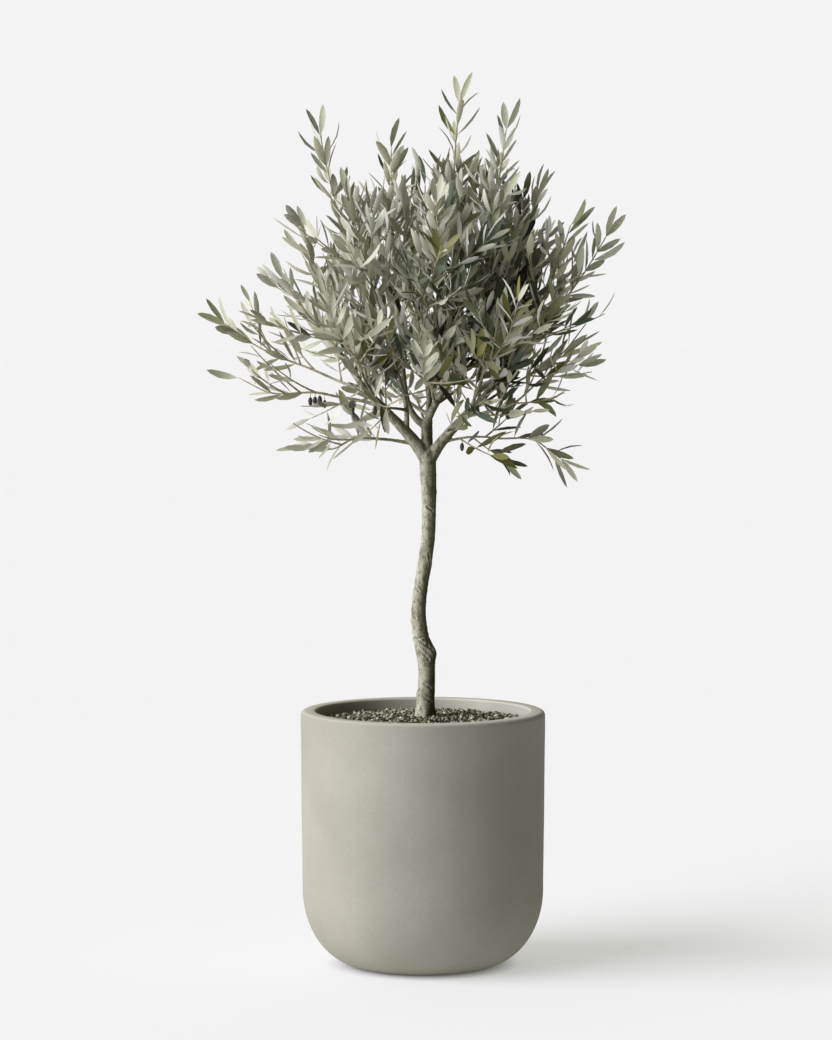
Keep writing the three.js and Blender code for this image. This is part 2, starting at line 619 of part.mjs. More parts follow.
const olive = new THREE.Group();
addMesh(olive, 'pot', potGeometry(), FINISHES.pot);
addMesh(olive, 'soil', soilGeometry(), FINISHES.soil);

const limbs = growLimbs();
for (const { name, solid } of limbs) {
  addMesh(olive, name, geometryFrom(solid), FINISHES.bark);
}

const masses = placeMasses(limbs);
for (const mass of masses) {
  addMesh(olive, mass.name, geometryFrom(massSolid(mass, masses, limbs)), FINISHES.foliage);
}

export default olive;
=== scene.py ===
# %% [markdown]
# # A young olive tree in a round-footed planter
#
# The solid model gives every size: the planter, its fill of gritty soil, the trunk, seven boughs,
# twenty-one branches and twenty-seven masses of foliage. This lesson dresses that model. Each cell makes
# one piece or one finish of the real plant, and says why it is made that way. Lengths in the tables are
# millimetres, as a nursery would measure them, and MM turns them into Blender's metres.

# %% Load the solid model
import math
from collections import namedtuple

import bmesh
import bpy
import numpy as np
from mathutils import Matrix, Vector, noise


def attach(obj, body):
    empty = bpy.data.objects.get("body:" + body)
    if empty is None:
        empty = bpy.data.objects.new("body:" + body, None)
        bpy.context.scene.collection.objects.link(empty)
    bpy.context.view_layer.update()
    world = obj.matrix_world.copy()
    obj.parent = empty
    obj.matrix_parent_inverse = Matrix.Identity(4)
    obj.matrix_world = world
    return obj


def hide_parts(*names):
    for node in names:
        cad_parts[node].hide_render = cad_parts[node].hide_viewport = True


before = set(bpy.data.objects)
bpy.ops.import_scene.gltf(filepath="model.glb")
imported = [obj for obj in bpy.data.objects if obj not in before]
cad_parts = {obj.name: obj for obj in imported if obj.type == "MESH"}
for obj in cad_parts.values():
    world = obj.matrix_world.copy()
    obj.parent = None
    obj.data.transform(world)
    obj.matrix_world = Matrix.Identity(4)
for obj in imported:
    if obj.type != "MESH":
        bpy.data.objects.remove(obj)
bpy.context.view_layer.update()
MM = 0.001
CLEARANCE = 0.3

# %% [markdown]
# ## Camera
#
# A long lens, 6.7 m away and just above the middle of the crown, looks slightly down. From there the
# planter's rim is a thin ellipse, and its walls are almost parallel.

# %% Camera
EYE = Vector((-0.0128, -6.722, 1.258))
LOOKING_DOWN = 0.065
LENS = 127.1
camera = bpy.data.objects.new("camera", bpy.data.cameras.new("camera"))
camera.data.lens = LENS
camera.location = EYE
camera.rotation_euler = (math.pi / 2 - LOOKING_DOWN, 0, 0)
bpy.context.scene.collection.objects.link(camera)
bpy.context.scene.camera = camera
bpy.context.scene.view_settings.view_transform = "Standard"
print("camera:", tuple(camera.location), "lens", camera.data.lens)

# %% [markdown]
# ## Finishes as recipes
#
# A finish is worked out in nodes. `Wire` wraps the socket that carries a value, so that sums read as
# sums. `Nodes` adds any other node from its type, its settings and the values of its sockets, and
# `Finish` is the nodes of one material, which end in a Principled shader.


# %% Sums on values
class Wire:
    """A value in a node tree. Arithmetic on it adds Math nodes."""

    def __init__(self, nodes, socket):
        self.nodes = nodes
        self.socket = socket

    def maths(self, operation, first, second):
        return self.nodes.node("ShaderNodeMath", {"operation": operation}, {0: first, 1: second})

    def __add__(self, other):
        return self.maths("ADD", self, other)

    __radd__ = __add__

    def __sub__(self, other):
        return self.maths("SUBTRACT", self, other)

    def __rsub__(self, other):
        return self.maths("SUBTRACT", other, self)

    def __mul__(self, other):
        return self.maths("MULTIPLY", self, other)

    __rmul__ = __mul__


# %% Nodes of a tree
class Nodes:
    """The nodes of one material or world."""

    def __init__(self, tree):
        self.tree = tree

    def feed(self, socket, value):
        """Sets a socket, or links it to the value it takes."""
        if isinstance(value, Wire):
            self.tree.links.new(value.socket, socket)
        elif isinstance(value, tuple) and len(value) == 3 and socket.type == "RGBA":
            socket.default_value = (*value, 1.0)
        else:
            socket.default_value = value

    def node(self, kind, settings=None, inputs=None, output=0):
        """Adds a node: its settings first, then the values or wires of its sockets."""
        made = self.tree.nodes.new(kind)
        for name, value in (settings or {}).items():
            if name == "stops":
                self.set_stops(made.color_ramp.elements, value)
            else:
                setattr(made, name, value)
        for name, value in (inputs or {}).items():
            self.feed(made.inputs[name], value)
        return Wire(self, made.outputs[output]) if made.outputs else None

    @staticmethod
    def set_stops(elements, stops):
        """Gives a ramp its stops, each a place and a grey or a colour."""
        while len(elements) < len(stops):
            elements.new(1.0)
        for element, (place, shade) in zip(elements, stops):
            element.position = place
            element.color = (*shade, 1.0) if isinstance(shade, tuple) else (shade, shade, shade, 1.0)


# %% One material
class Finish(Nodes):
    """A material with one Principled shader. Named values are set on the shader's own sockets."""

    def __init__(self, name, **values):
        self.material = bpy.data.materials.new(name)
        self.material.use_nodes = True
        super().__init__(self.material.node_tree)
        self.shader = self.tree.nodes["Principled BSDF"]
        for socket, value in values.items():
            self.set(socket.replace("_", " "), value)

    def set(self, socket, value):
        """Sets or links one socket of the shader."""
        self.feed(self.shader.inputs[socket], value)

    def place(self, stretch=(1, 1, 1)):
        """The place on the object, in metres, stretched along each axis."""
        here = self.node("ShaderNodeTexCoord", output=3)
        return self.node("ShaderNodeVectorMath", {"operation": "MULTIPLY"}, {0: here, 1: stretch})

    def facing(self):
        """The way that the surface faces."""
        return self.node("ShaderNodeNewGeometry", output=1)

    def noise(self, scale, detail=3.0, rough=0.55, stretch=(1, 1, 1), warp=0.0):
        values = {"Vector": self.place(stretch), "Scale": scale, "Detail": detail}
        values.update({"Roughness": rough, "Distortion": warp})
        return self.node("ShaderNodeTexNoise", inputs=values)

    def steps(self, value, *stops):
        """A value or colour read off a ramp at `value`."""
        return self.node("ShaderNodeValToRGB", {"stops": stops}, {0: value})

    def mix(self, share, first, second, blend="MIX"):
        """One colour laid over another by a share."""
        settings = {"data_type": "RGBA", "blend_type": blend}
        return self.node("ShaderNodeMix", settings, {0: share, 6: first, 7: second}, output=2)

    def bump(self, height, distance, strength=1.0):
        values = {"Height": height, "Distance": distance, "Strength": strength}
        self.set("Normal", self.node("ShaderNodeBump", inputs=values))


def srgb(red, green, blue):
    """A colour named by its 0-255 screen values, as linear light."""
    return tuple(((c / 255 + 0.055) / 1.055) ** 2.4 for c in (red, green, blue))


print("finish helpers ready")

# %% [markdown]
# ## Studio light
#
# The plant stands in a pale studio. A wide soft light comes from the left and a little from the front,
# so the planter's left wall is bright and its right wall falls off. A second, wider one hangs overhead
# and behind, and fills the floor's shadow. Suns with a large angle do this evenly out to the horizon.
# The world gives a faint warm fill, and a pale backdrop that only the camera sees.

# %% Lights
KEY = {"towards": (0.90, 0.36, -0.34), "angle": 60, "strength": 6.1, "colour": (1.0, 0.98, 1.10)}
OVERHEAD = {"towards": (0.12, -0.40, -0.92), "angle": 90, "strength": 0.90, "colour": (1.0, 1.0, 0.90)}


def add_sun(name, towards, angle, strength, colour):
    """A distant lamp whose apparent size, in degrees, sets how soft its shadows are."""
    lamp = bpy.data.lights.new(name, "SUN")
    lamp.angle = math.radians(angle)
    lamp.energy = strength
    lamp.color = colour
    holder = bpy.data.objects.new(name, lamp)
    holder.rotation_euler = Vector(towards).to_track_quat("-Z", "Y").to_euler()
    bpy.context.scene.collection.objects.link(holder)


add_sun("key_light", **KEY)
add_sun("overhead_light", **OVERHEAD)
print("lights:", KEY["strength"], OVERHEAD["strength"])

# %% Fill and backdrop
FILL = {"Color": (1.0, 0.97, 0.86), "Strength": 0.04}
BACKDROP = {"Color": (0.90, 0.90, 0.90), "Strength": 1.0}
world = bpy.data.worlds.new("studio")
world.use_nodes = True
world.node_tree.nodes.clear()
bpy.context.scene.world = world
studio = Nodes(world.node_tree)
fill = studio.node("ShaderNodeBackground", inputs=FILL)
backdrop = studio.node("ShaderNodeBackground", inputs=BACKDROP)
seen_by_camera = studio.node("ShaderNodeLightPath", output=0)
sky = studio.node("ShaderNodeMixShader", inputs={0: seen_by_camera, 1: fill, 2: backdrop})
studio.node("ShaderNodeOutputWorld", inputs={0: sky})
print("fill", FILL["Strength"], "backdrop", BACKDROP["Color"])

# %% [markdown]
# ## Helpers for shapes
#
# Everything that grows is a tube or a blade, so a few short helpers on arrays of points are enough. They
# end in one mesh for each kind of thing, which Blender renders and exports far quicker than thousands of
# separate objects.


# %% A heap of small shapes
def unit(vectors):
    """Vectors of length one."""
    vectors = np.asarray(vectors, float)
    return vectors / np.linalg.norm(vectors, axis=-1, keepdims=True)


def mix(first, second, share):
    return first + (second - first) * share


class Heap:
    """Points, triangles and finish numbers of many small shapes on their way into one mesh."""

    def __init__(self):
        self.points, self.corners, self.finishes, self.count = [], [], [], 0

    def add(self, points, corners, finish=0):
        points = np.asarray(points, float).reshape(-1, 3)
        corners = np.asarray(corners).reshape(-1, 3)
        self.points.append(points)
        self.corners.append(corners + self.count)
        self.finishes.append(np.broadcast_to(np.asarray(finish), (len(corners),)))
        self.count += len(points)

    def mesh(self, name):
        """The heap as a mesh in metres."""
        made = bpy.data.meshes.new(name)
        made.from_pydata(np.concatenate(self.points) * MM, [], np.concatenate(self.corners))
        made.polygons.foreach_set("material_index", np.concatenate(self.finishes))
        made.validate()
        return made


print("heap ready")


# %% A finished piece
def add_piece(name, mesh, finishes, nodes, crease=None):
    """A finished piece: shown, riding with the plant, and standing for its solid nodes."""
    for finish in finishes:
        mesh.materials.append(finish.material)
    mesh.shade_smooth()
    if crease is not None:
        mesh.set_sharp_from_angle(angle=math.radians(crease))
    piece = bpy.data.objects.new(name, mesh)
    bpy.context.scene.collection.objects.link(piece)
    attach(piece, "root")
    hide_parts(*nodes)
    print(name, "faces:", len(mesh.polygons))


def template(fill_shape):
    """The points and triangles of a small ready-made shape."""
    shape = bmesh.new()
    fill_shape(shape)
    bmesh.ops.triangulate(shape, faces=shape.faces[:])
    points = np.array([corner.co for corner in shape.verts])
    corners = np.array([[corner.index for corner in face.verts] for face in shape.faces])
    shape.free()
    return points, corners


# %% Rings of points
def ring_corners(sides, rings):
    """Triangles between rings of points, closed by the two end points that follow the rings."""
    side = np.arange(sides)
    after = (side + 1) % sides
    corners = []
    for low in range(0, (rings - 1) * sides, sides):
        high = low + sides
        corners.append(np.stack([low + side, low + after, high + after], 1))
        corners.append(np.stack([low + side, high + after, high + side], 1))
    last, foot = (rings - 1) * sides, np.full(sides, rings * sides)
    corners.append(np.stack([foot, after, side], 1))
    corners.append(np.stack([foot + 1, last + side, last + after], 1))
    return np.concatenate(corners)


def turned(profile, sides):
    """Points and triangles of a closed solid of revolution from [radius, height] pairs, axis to axis."""
    profile = np.asarray(profile, float)
    turns = np.linspace(0, 2 * math.pi, sides, endpoint=False)
    rings = profile[1:-1]
    points = np.stack([
        np.outer(rings[:, 0], np.cos(turns)),
        np.outer(rings[:, 0], np.sin(turns)),
        np.repeat(rings[:, 1:], sides, axis=1),
    ], axis=-1).reshape(-1, 3)
    ends = [[0, 0, profile[0, 1]], [0, 0, profile[-1, 1]]]
    return np.concatenate([points, ends]), ring_corners(sides, len(rings))


print("shape helpers ready")

# %% [markdown]
# ## The floor
#
# A plain pale sheet, much wider than any view, so that its far edge meets the backdrop quietly. A faint
# glow, which is painted light, lifts it to the backdrop's tone and lightens the shadows on it. The glow
# stops short of the planter's foot, and that paints a darker ring of contact shadow there.

# %% Floor
FLOOR = {"radius": 60.0, "grey": 0.468, "glow": 0.453, "glow_colour": (1.0, 1.0, 0.965)}
GLOW_STARTS, GLOW_FULL = 0.115, 0.178
sheet = Finish("studio_floor", Base_Color=(FLOOR["grey"],) * 3, Roughness=1.0, Specular_IOR_Level=0.0)
away = sheet.node("ShaderNodeVectorMath", {"operation": "LENGTH"}, {0: sheet.place()}, output=1)
# The glow is held back near the planter's foot, which paints a darker ring of contact shadow.
glow = sheet.steps(away, (GLOW_STARTS, 0.0), (GLOW_FULL, FLOOR["glow_colour"]))
sheet.set("Emission Color", glow)
sheet.set("Emission Strength", FLOOR["glow"])
bpy.ops.mesh.primitive_circle_add(vertices=96, radius=FLOOR["radius"], fill_type="NGON")
floor = bpy.context.object
floor.name = "studio_floor"
floor.data.materials.append(sheet.material)
print("floor radius", FLOOR["radius"])

# %% [markdown]
# ## The planter
#
# A cast planter of fine mineral composite: a straight wall that leans out by a hair, a soft round lip and
# an elliptical quarter that tucks the wall under. It is a turned shape, so one half profile says it all.
# Casting never leaves a perfect cylinder, so slow waves well under a millimetre deep break up the
# highlight along the wall.

# %% Planter profile
POT = {
    "height": 470, "rim": 225, "foot": 222, "wall": 28, "floor": 30, "across": 107, "up": 140, "lip": 9,
    "inner_lip": 4,
}
POT_SIDES = 224


def corner_profile(inset, steps):
    """The elliptical quarter between foot and wall, set in by the wall's thickness for the inside."""
    turn = np.linspace(0, math.pi / 2, steps)
    radius = POT["foot"] - POT["across"] + (POT["across"] - inset) * np.sin(turn)
    return np.stack([radius, POT["up"] - (POT["up"] - inset) * np.cos(turn)], 1)


def wall_profile(low, high, steps):
    """Evenly spaced rings between two [radius, height] pairs, without the two ends."""
    return mix(np.asarray(low, float), np.asarray(high, float), np.linspace(0, 1, steps + 2)[1:-1, None])


def lip_profile(steps):
    """The rim: a full round outside, and a tighter one inside."""
    turn = np.linspace(0, math.pi, steps)
    outside = turn < math.pi / 2
    round_off = np.where(outside, POT["lip"], POT["inner_lip"])
    inner_middle = POT["rim"] - POT["wall"] + POT["inner_lip"]
    radius = np.where(outside, POT["rim"] - POT["lip"], inner_middle) + round_off * np.cos(turn)
    return np.stack([radius, POT["height"] - round_off * (1 - np.sin(turn))], 1)


outer, lip = corner_profile(0, 22), lip_profile(16)
inner = corner_profile(POT["wall"], 10)[::-1]
inner[-1, 1] = POT["floor"]
pot_profile = np.concatenate([
    [[0, 0]], outer, wall_profile(outer[-1], lip[0], 24), lip,
    wall_profile(lip[-1], inner[0], 10), inner, [[0, POT["floor"]]],
])
print("planter rings:", len(pot_profile), "sides:", POT_SIDES)

# %% Planter skin
WAVE = {"depth": 0.35, "slow": 0.009, "quick": 0.031, "above": 4}
pot_points, pot_corners = turned(pot_profile, POT_SIDES)
for place in pot_points:
    wave = noise.noise(Vector(place * WAVE["slow"])) + 0.5 * noise.noise(Vector(place * WAVE["quick"]))
    if place[2] > WAVE["above"]:
        place[:2] *= 1 + WAVE["depth"] * wave / POT["rim"]
planter_heap = Heap()
planter_heap.add(pot_points, pot_corners)
print("planter points:", len(pot_points))

# %% [markdown]
# ## The planter's finish
#
# Fine sand in the mix shows as a close, low grain, a little lighter and darker from speck to speck. Over
# it lie broad clouds where the mix dried unevenly. Two scales of noise make the colour, and the finer
# one also lifts the surface, so the wall stays matte but never looks like plastic. The rim and the
# inside are painted paler where they face up or in towards the axis: painted light on the top of the
# lip and on the inner wall.

# %% Planter finish
# The painted light on the rim and the inside: its share from facing up and from facing in, how much of it
# covers, and its colour.
PAINTED_LIGHT = {"up": 0.9, "inward": 0.5, "cover": 0.8, "colour": srgb(188, 187, 169)}
cast = Finish("mineral_composite", Specular_IOR_Level=0.25)
clouds = cast.noise(5.0, detail=4.0)
grain = cast.noise(520.0, detail=2.0, rough=0.7)
specks = cast.noise(210.0, detail=1.0)
wall_shade = cast.steps(clouds, (0.35, srgb(156, 156, 143)), (0.68, srgb(167, 167, 154)))
grain_share = cast.steps(grain * 0.7 + specks * 0.3, (0.36, 0.0), (0.64, 1.0))
sandy = cast.mix(grain_share, srgb(186, 182, 168), srgb(214, 211, 199))
wall_colour = cast.mix(0.55, wall_shade, sandy, "MULTIPLY")
upward = cast.node("ShaderNodeSeparateXYZ", inputs={0: cast.facing()}, output=2)
from_axis = cast.place((1 / (POT["rim"] * MM), 1 / (POT["rim"] * MM), 0))
outward = cast.node("ShaderNodeVectorMath", {"operation": "DOT_PRODUCT"}, {0: cast.facing(), 1: from_axis}, 1)
# Painted light: surfaces that face up or in towards the axis are painted paler.
painted_light_share = cast.steps(upward * PAINTED_LIGHT["up"] - outward * PAINTED_LIGHT["inward"], (0.05, 0.0), (0.75, 1.0))
cast.set("Base Color", cast.mix(painted_light_share * PAINTED_LIGHT["cover"], wall_colour, PAINTED_LIGHT["colour"]))
cast.set("Roughness", 0.80 + 0.14 * grain)
cast.bump(grain * 0.6 + specks * 0.4, 0.0006, 0.55)
add_piece("planter", planter_heap.mesh("planter"), [cast], ["pot"], 50)

# %% [markdown]
# ## Gritty soil
#
# The fill is a top dressing of crushed grit, grains of 4 to 10 mm in dark and pale stone, over dark
# compost. The bed is a low turned mound with noise in it, and thousands of grains lie half sunk in it.
# Each grain is a rough twenty-sided pebble: at this size a smooth-shaded one already looks round.

# %% Soil bed
SOIL = {
    "edge": 448, "crown": 458, "landing": 34, "gap": 1.5, "under_grit": 2.5, "lumps": 1.6, "lump_scale": 0.12,
}
BED_RADIUS = POT["rim"] - POT["wall"] - SOIL["gap"]


def bed_height(radius):
    """The mound's height at a distance from the trunk."""
    marks = [0, SOIL["landing"], BED_RADIUS * 0.55, BED_RADIUS]
    heights = [SOIL["crown"], SOIL["crown"], mix(SOIL["edge"], SOIL["crown"], 0.6), SOIL["edge"]]
    return np.interp(radius, marks, heights)


rings = np.linspace(BED_RADIUS, 4, 46)
side = corner_profile(POT["wall"] + CLEARANCE * 3, 8)
side[0, 1] = POT["floor"] + CLEARANCE * 2
top = np.stack([rings, bed_height(rings) - SOIL["under_grit"]], 1)
peak = [[0, SOIL["crown"] - SOIL["under_grit"]]]
bed_points, bed_corners = turned(np.concatenate([[[0, side[0, 1]]], side, top, peak]), 160)
on_top = bed_points[:, 2] > SOIL["edge"] - 6
lumps = np.array([noise.noise(Vector(place * SOIL["lump_scale"])) for place in bed_points])
bed_points[:, 2] += np.where(on_top, SOIL["lumps"] * lumps, 0)
bed_heap = Heap()
bed_heap.add(bed_points, bed_corners)
print("soil bed points:", len(bed_points))

# %% Soil bed finish
compost = Finish("damp_compost", Roughness=0.95, Specular_IOR_Level=0.2)
crumbs = compost.noise(420.0, detail=4.0, rough=0.65)
compost.set("Base Color", compost.steps(crumbs, (0.30, srgb(26, 24, 16)), (0.70, srgb(62, 58, 42))))
compost.bump(crumbs, 0.0025, 0.9)
add_piece("soil_bed", bed_heap.mesh("soil_bed"), [compost], ["soil"], 60)

# %% Stone finishes
GRIT_SHADES = {
    "charcoal": (56, 57, 41), "brown": (90, 90, 64), "grey": (130, 131, 105), "sand": (176, 174, 146),
    "pale": (198, 196, 172),
}
GRIT_SHARES = [0.34, 0.26, 0.16, 0.14, 0.10]


def stone_finish(name, shade):
    """Stone of one shade, with its own fine flecks."""
    finish = Finish("grit_" + name, Roughness=0.9, Specular_IOR_Level=0.3)
    flecks = finish.noise(900.0, detail=2.0)
    dark = srgb(*(value * 0.82 for value in shade))
    light = srgb(*(value * 1.12 for value in shade))
    finish.set("Base Color", finish.steps(flecks, (0.35, dark), (0.65, light)))
    finish.bump(flecks, 0.0004, 0.6)
    return finish


grit_finishes = [stone_finish(name, shade) for name, shade in GRIT_SHADES.items()]
print("stone finishes:", len(grit_finishes))

# %% Grit grains
GRIT = {
    "count": 3400, "smallest": 2.3, "largest": 5.2, "trunk": 22.0, "wall_gap": 3.0, "rough": 0.2,
    "raised": (-1.6, 1.2), "squash": ([0.75, 0.75, 0.5], [1.25, 1.1, 0.85]),
}
pebble_points, pebble_corners = template(
    lambda shape: bmesh.ops.create_icosphere(shape, subdivisions=1, radius=1.0))
bed_random = np.random.default_rng(11)


def grit_places(count):
    """Places spread evenly over the mound, with none under the trunk's foot."""
    widest = BED_RADIUS - GRIT["wall_gap"]
    radius = np.sqrt(bed_random.uniform(GRIT["trunk"] ** 2, widest ** 2, count))
    turn = bed_random.uniform(0, 2 * math.pi, count)
    return np.stack([radius * np.cos(turn), radius * np.sin(turn), bed_height(radius)], 1)


grit_heap = Heap()
for centre in grit_places(GRIT["count"]):
    size = mix(GRIT["smallest"], GRIT["largest"], bed_random.random() ** 1.4)
    squash = bed_random.uniform(*GRIT["squash"])
    rough = 1 + bed_random.uniform(-GRIT["rough"], GRIT["rough"], len(pebble_points))
    axes = unit(np.linalg.qr(bed_random.normal(size=(3, 3)))[0])
    stone = (pebble_points * rough[:, None] * squash * size) @ axes
    raised = bed_random.uniform(*GRIT["raised"])
    shade = bed_random.choice(len(GRIT_SHADES), p=GRIT_SHARES)
    grit_heap.add(stone + centre + [0, 0, raised], pebble_corners, shade)
add_piece("soil_grit", grit_heap.mesh("soil_grit"), grit_finishes, ["soil"])

# %% [markdown]
# ## Curves that limbs and shoots follow
#
# A limb leaves its carrier in one direction and swings round to another. A cubic curve whose handles are
# a set share of its length does that, and everything later asks it for places by share of its length.

# %% Curves
HANDLE = 0.36
CURVE_POINTS = 40


class Curve:
    """A smooth line that gives places and directions by share of its length."""

    def __init__(self, points):
        self.points = np.asarray(points, float)
        reach = np.cumsum(np.linalg.norm(np.diff(self.points, axis=0), axis=1))
        self.length = reach[-1]
        self.shares = np.concatenate([[0], reach]) / self.length

    def at(self, share):
        return np.stack([np.interp(share, self.shares, axis) for axis in self.points.T], axis=-1)

    def along(self, share):
        share = np.asarray(share, float)
        ahead = self.at(np.minimum(share + 0.01, 1)) - self.at(np.maximum(share - 0.01, 0))
        return unit(ahead)

    def line(self, count):
        """Evenly spaced places from end to end."""
        return self.at(np.linspace(0, 1, count))

    def cut(self, share):
        """The curve up to a share of its length."""
        return Curve(self.at(np.linspace(0, share, CURVE_POINTS)))


def sweep(start, heading, end, rise):
    """A curve that leaves `start` along `heading` and arrives at `end` along `rise`."""
    start, end = np.asarray(start, float), np.asarray(end, float)
    handle = HANDLE * np.linalg.norm(end - start)
    knots = [start, start + unit(heading) * handle, end - unit(rise) * handle, end]
    t = np.linspace(0, 1, CURVE_POINTS)[:, None]
    weights = [(1 - t) ** 3, 3 * t * (1 - t) ** 2, 3 * t ** 2 * (1 - t), t ** 3]
    return Curve(sum(weight * knot for weight, knot in zip(weights, knots)))


print("curves ready")


# %% Tubes
def sideways(direction, turn):
    """A unit vector square to `direction`, turned about it by `turn`."""
    reference = (0, 0, 1) if abs(direction[2]) < 0.9 else (1, 0, 0)
    square = unit(np.cross(reference, direction))
    return square * math.cos(turn) + np.cross(direction, square) * math.sin(turn)


def tube(curve, radii, sides, segments):
    """Points and triangles of a closed, round-ended tube. `radii` takes shares of the length."""
    shares = np.linspace(0, 1, segments + 1)
    centres, directions, widths = curve.at(shares), curve.along(shares), radii(shares)
    normal = sideways(directions[0], 0)
    turns = np.linspace(0, 2 * math.pi, sides, endpoint=False)[:, None]
    points = []
    for centre, direction, width in zip(centres, directions, widths):
        normal = unit(normal - direction * np.dot(normal, direction))
        points.append(centre + width * (np.cos(turns) * normal + np.sin(turns) * np.cross(direction, normal)))
    ends = [centres[0], centres[-1] + directions[-1] * widths[-1] * 0.8]
    return np.concatenate([*points, ends]), ring_corners(sides, segments + 1)


print("tubes ready")

# %% [markdown]
# ## Trunk and limbs
#
# The trunk is as thick as a broom handle. It leans and sways on its way up, swells at an old pruning
# knot low down and flares where it meets the soil. At 940 mm it parts into boughs, and these into
# branches. The tables hold the same places and sizes as the solid model, so the dressed limbs lie
# exactly where the solid ones are.

# %% Stations of the trunk
TRUNK_STATIONS = np.array([
    # height, x, y and radius
    (450, 4, 0, 21.5), (462, 4, 0, 19.2), (484, 5, 0, 16.8), (530, 7, 1, 15.4), (560, 6, 2, 16.2),
    (576, 4, 3, 17.2), (592, 0, 3, 16.2), (606, -4, 3, 14.8), (645, -8, 2, 13.4), (690, -5, 0, 12.9),
    (745, 4, -3, 12.8), (800, 10, -2, 12.8), (860, 11, 0, 13.4), (915, 9, 1, 15.2), (946, 8, 2, 15.0),
], float)
print("trunk stations:", len(TRUNK_STATIONS))

# %% Table of the limbs
BOUGHS = [
    # name, carrier, share of the carrier, radii, heading, end, direction at the end
    ("left", "trunk", 0.965, (12, 5), (-0.5, 0, 0.87), (-132, -36, 1100), (-0.5, -0.1, 0.86)),
    ("centre", "trunk", 0.97, (9.8, 8.6), (-0.05, 0.05, 1), (5, 8, 996), (0, 0, 1)),
    ("right", "trunk", 0.955, (10.8, 5), (0.45, -0.05, 0.89), (146, -8, 1094), (0.5, 0.1, 0.86)),
    ("back", "trunk", 0.975, (8.6, 4.4), (0.05, 0.6, 0.8), (14, 98, 1096), (0.05, 0.3, 0.95)),
    ("centre_left", "bough_centre", 0.95, (6.6, 3.8), (-0.95, 0.2, 0.5), (-38, 28, 1126), (-0.1, 0, 1)),
    ("centre_right", "bough_centre", 0.98, (7, 4), (0.35, -0.2, 0.93), (74, -34, 1120), (0.4, -0.1, 0.9)),
    ("left_inner", "bough_left", 0.3, (4.8, 3.2), (0.15, -0.2, 0.97), (-52, -54, 1116), (-0.2, -0.3, 0.93)),
]
BRANCHES = [
    ("left_low", "bough_left", 0.16, (3.6, 2.4), (-0.9, -0.1, 0.2), (-118, -26, 972), (-1, -0.1, 0)),
    ("left_long", "bough_left", 0.56, (3.8, 2.4), (-0.8, 0.1, 0.45), (-178, -16, 1052), (-0.97, 0, 0.25)),
    ("left_high", "bough_left", 0.76, (3.6, 2.4), (-0.9, 0.3, 0.3), (-180, 16, 1086), (-0.9, 0.1, 0.42)),
    ("left_shoulder", "bough_left", 0.88, (3.6, 2.4), (-0.2, 0.6, 0.75), (-142, 30, 1156), (-0.3, 0.2, 0.93)),
    ("left_tall", "bough_centre_left", 0.6, (3.4, 2.4), (-0.6, 0.2, 0.75), (-86, 34, 1156), (-0.3, 0, 0.95)),
    ("front_left", "bough_left", 0.66, (3.6, 2.4), (-0.1, -0.9, 0.4), (-112, -112, 1098), (-0.15, -0.8, 0.6)),
    ("front_low", "bough_centre_right", 0.3, (3.6, 2.4), (-0.1, -0.9, 0.3), (16, -104, 1060),
     (-0.05, -0.9, 0.4)),
    ("front_low_left", "bough_left_inner", 0.28, (3.2, 2.3), (-0.3, -0.9, 0.2), (-76, -76, 1034),
     (-0.4, -0.85, 0.3)),
    ("front_low_right", "bough_right", 0.3, (3.2, 2.3), (0.1, -0.95, 0.1), (80, -70, 1012),
     (0.4, -0.85, 0.3)),
    ("front_high", "bough_left_inner", 0.8, (3, 2.3), (0.6, -0.4, 0.7), (-6, -94, 1150), (0.2, -0.45, 0.88)),
    ("front_right", "bough_right", 0.58, (3.6, 2.4), (0, -0.9, 0.35), (104, -106, 1080), (0.1, -0.85, 0.55)),
    ("top_back", "bough_back", 0.74, (3.4, 2.4), (-0.1, -0.5, 0.85), (6, 66, 1160), (0, 0.05, 1)),
    ("top_tall", "bough_centre_right", 0.62, (3.4, 2.4), (-0.15, 0.5, 0.85), (48, 6, 1170), (0.1, 0, 1)),
    ("right_high", "bough_right", 0.68, (3.6, 2.4), (-0.1, 0.7, 0.7), (130, 56, 1144), (0.25, 0.1, 0.97)),
    ("right_long", "bough_right", 0.86, (3.6, 2.4), (0.7, 0.3, 0.65), (196, 20, 1140), (0.55, 0, 0.83)),
    ("right_mid", "bough_right", 0.6, (3.6, 2.4), (0.75, 0.6, 0.3), (160, 58, 1064), (0.85, 0.2, 0.5)),
    ("right_side", "bough_right", 0.5, (3.6, 2.4), (0.8, -0.6, 0.2), (150, -48, 1030), (0.95, -0.2, 0.3)),
    ("right_drop", "bough_right", 0.2, (2.8, 2.1), (0.93, -0.1, 0.3), (128, -20, 972), (0.97, 0, -0.15)),
    ("back_low", "bough_back", 0.3, (3.2, 2.3), (-0.2, 0.9, 0.2), (-10, 118, 1034), (-0.2, 0.9, 0.3)),
    ("back_left", "bough_back", 0.5, (3.8, 2.4), (-0.75, 0.5, 0.4), (-82, 118, 1080), (-0.6, 0.6, 0.5)),
    ("back_right", "bough_back", 0.58, (3.8, 2.4), (0.75, 0.5, 0.4), (100, 124, 1086), (0.6, 0.6, 0.5)),
]
LIMBS = [(kind + name, *row) for kind, table in (("bough_", BOUGHS), ("branch_", BRANCHES))
         for name, *row in table]
print("limbs in the table:", len(LIMBS))


# %% Limb curves
def rounded_path(stations, steps=8):
    """A smooth path through the stations, with their radii."""
    padded = np.concatenate([stations[:1], stations, stations[-1:]])
    rows = []
    for before, low, high, after in zip(padded, padded[1:], padded[2:], padded[3:]):
        for t in np.linspace(0, 1, steps, endpoint=False):
            bend = (2 * low + (high - before) * t + (2 * before - 5 * low + 4 * high - after) * t ** 2
                    + (3 * low - before - 3 * high + after) * t ** 3)
            rows.append(bend / 2)
    return np.array(rows + [stations[-1]])


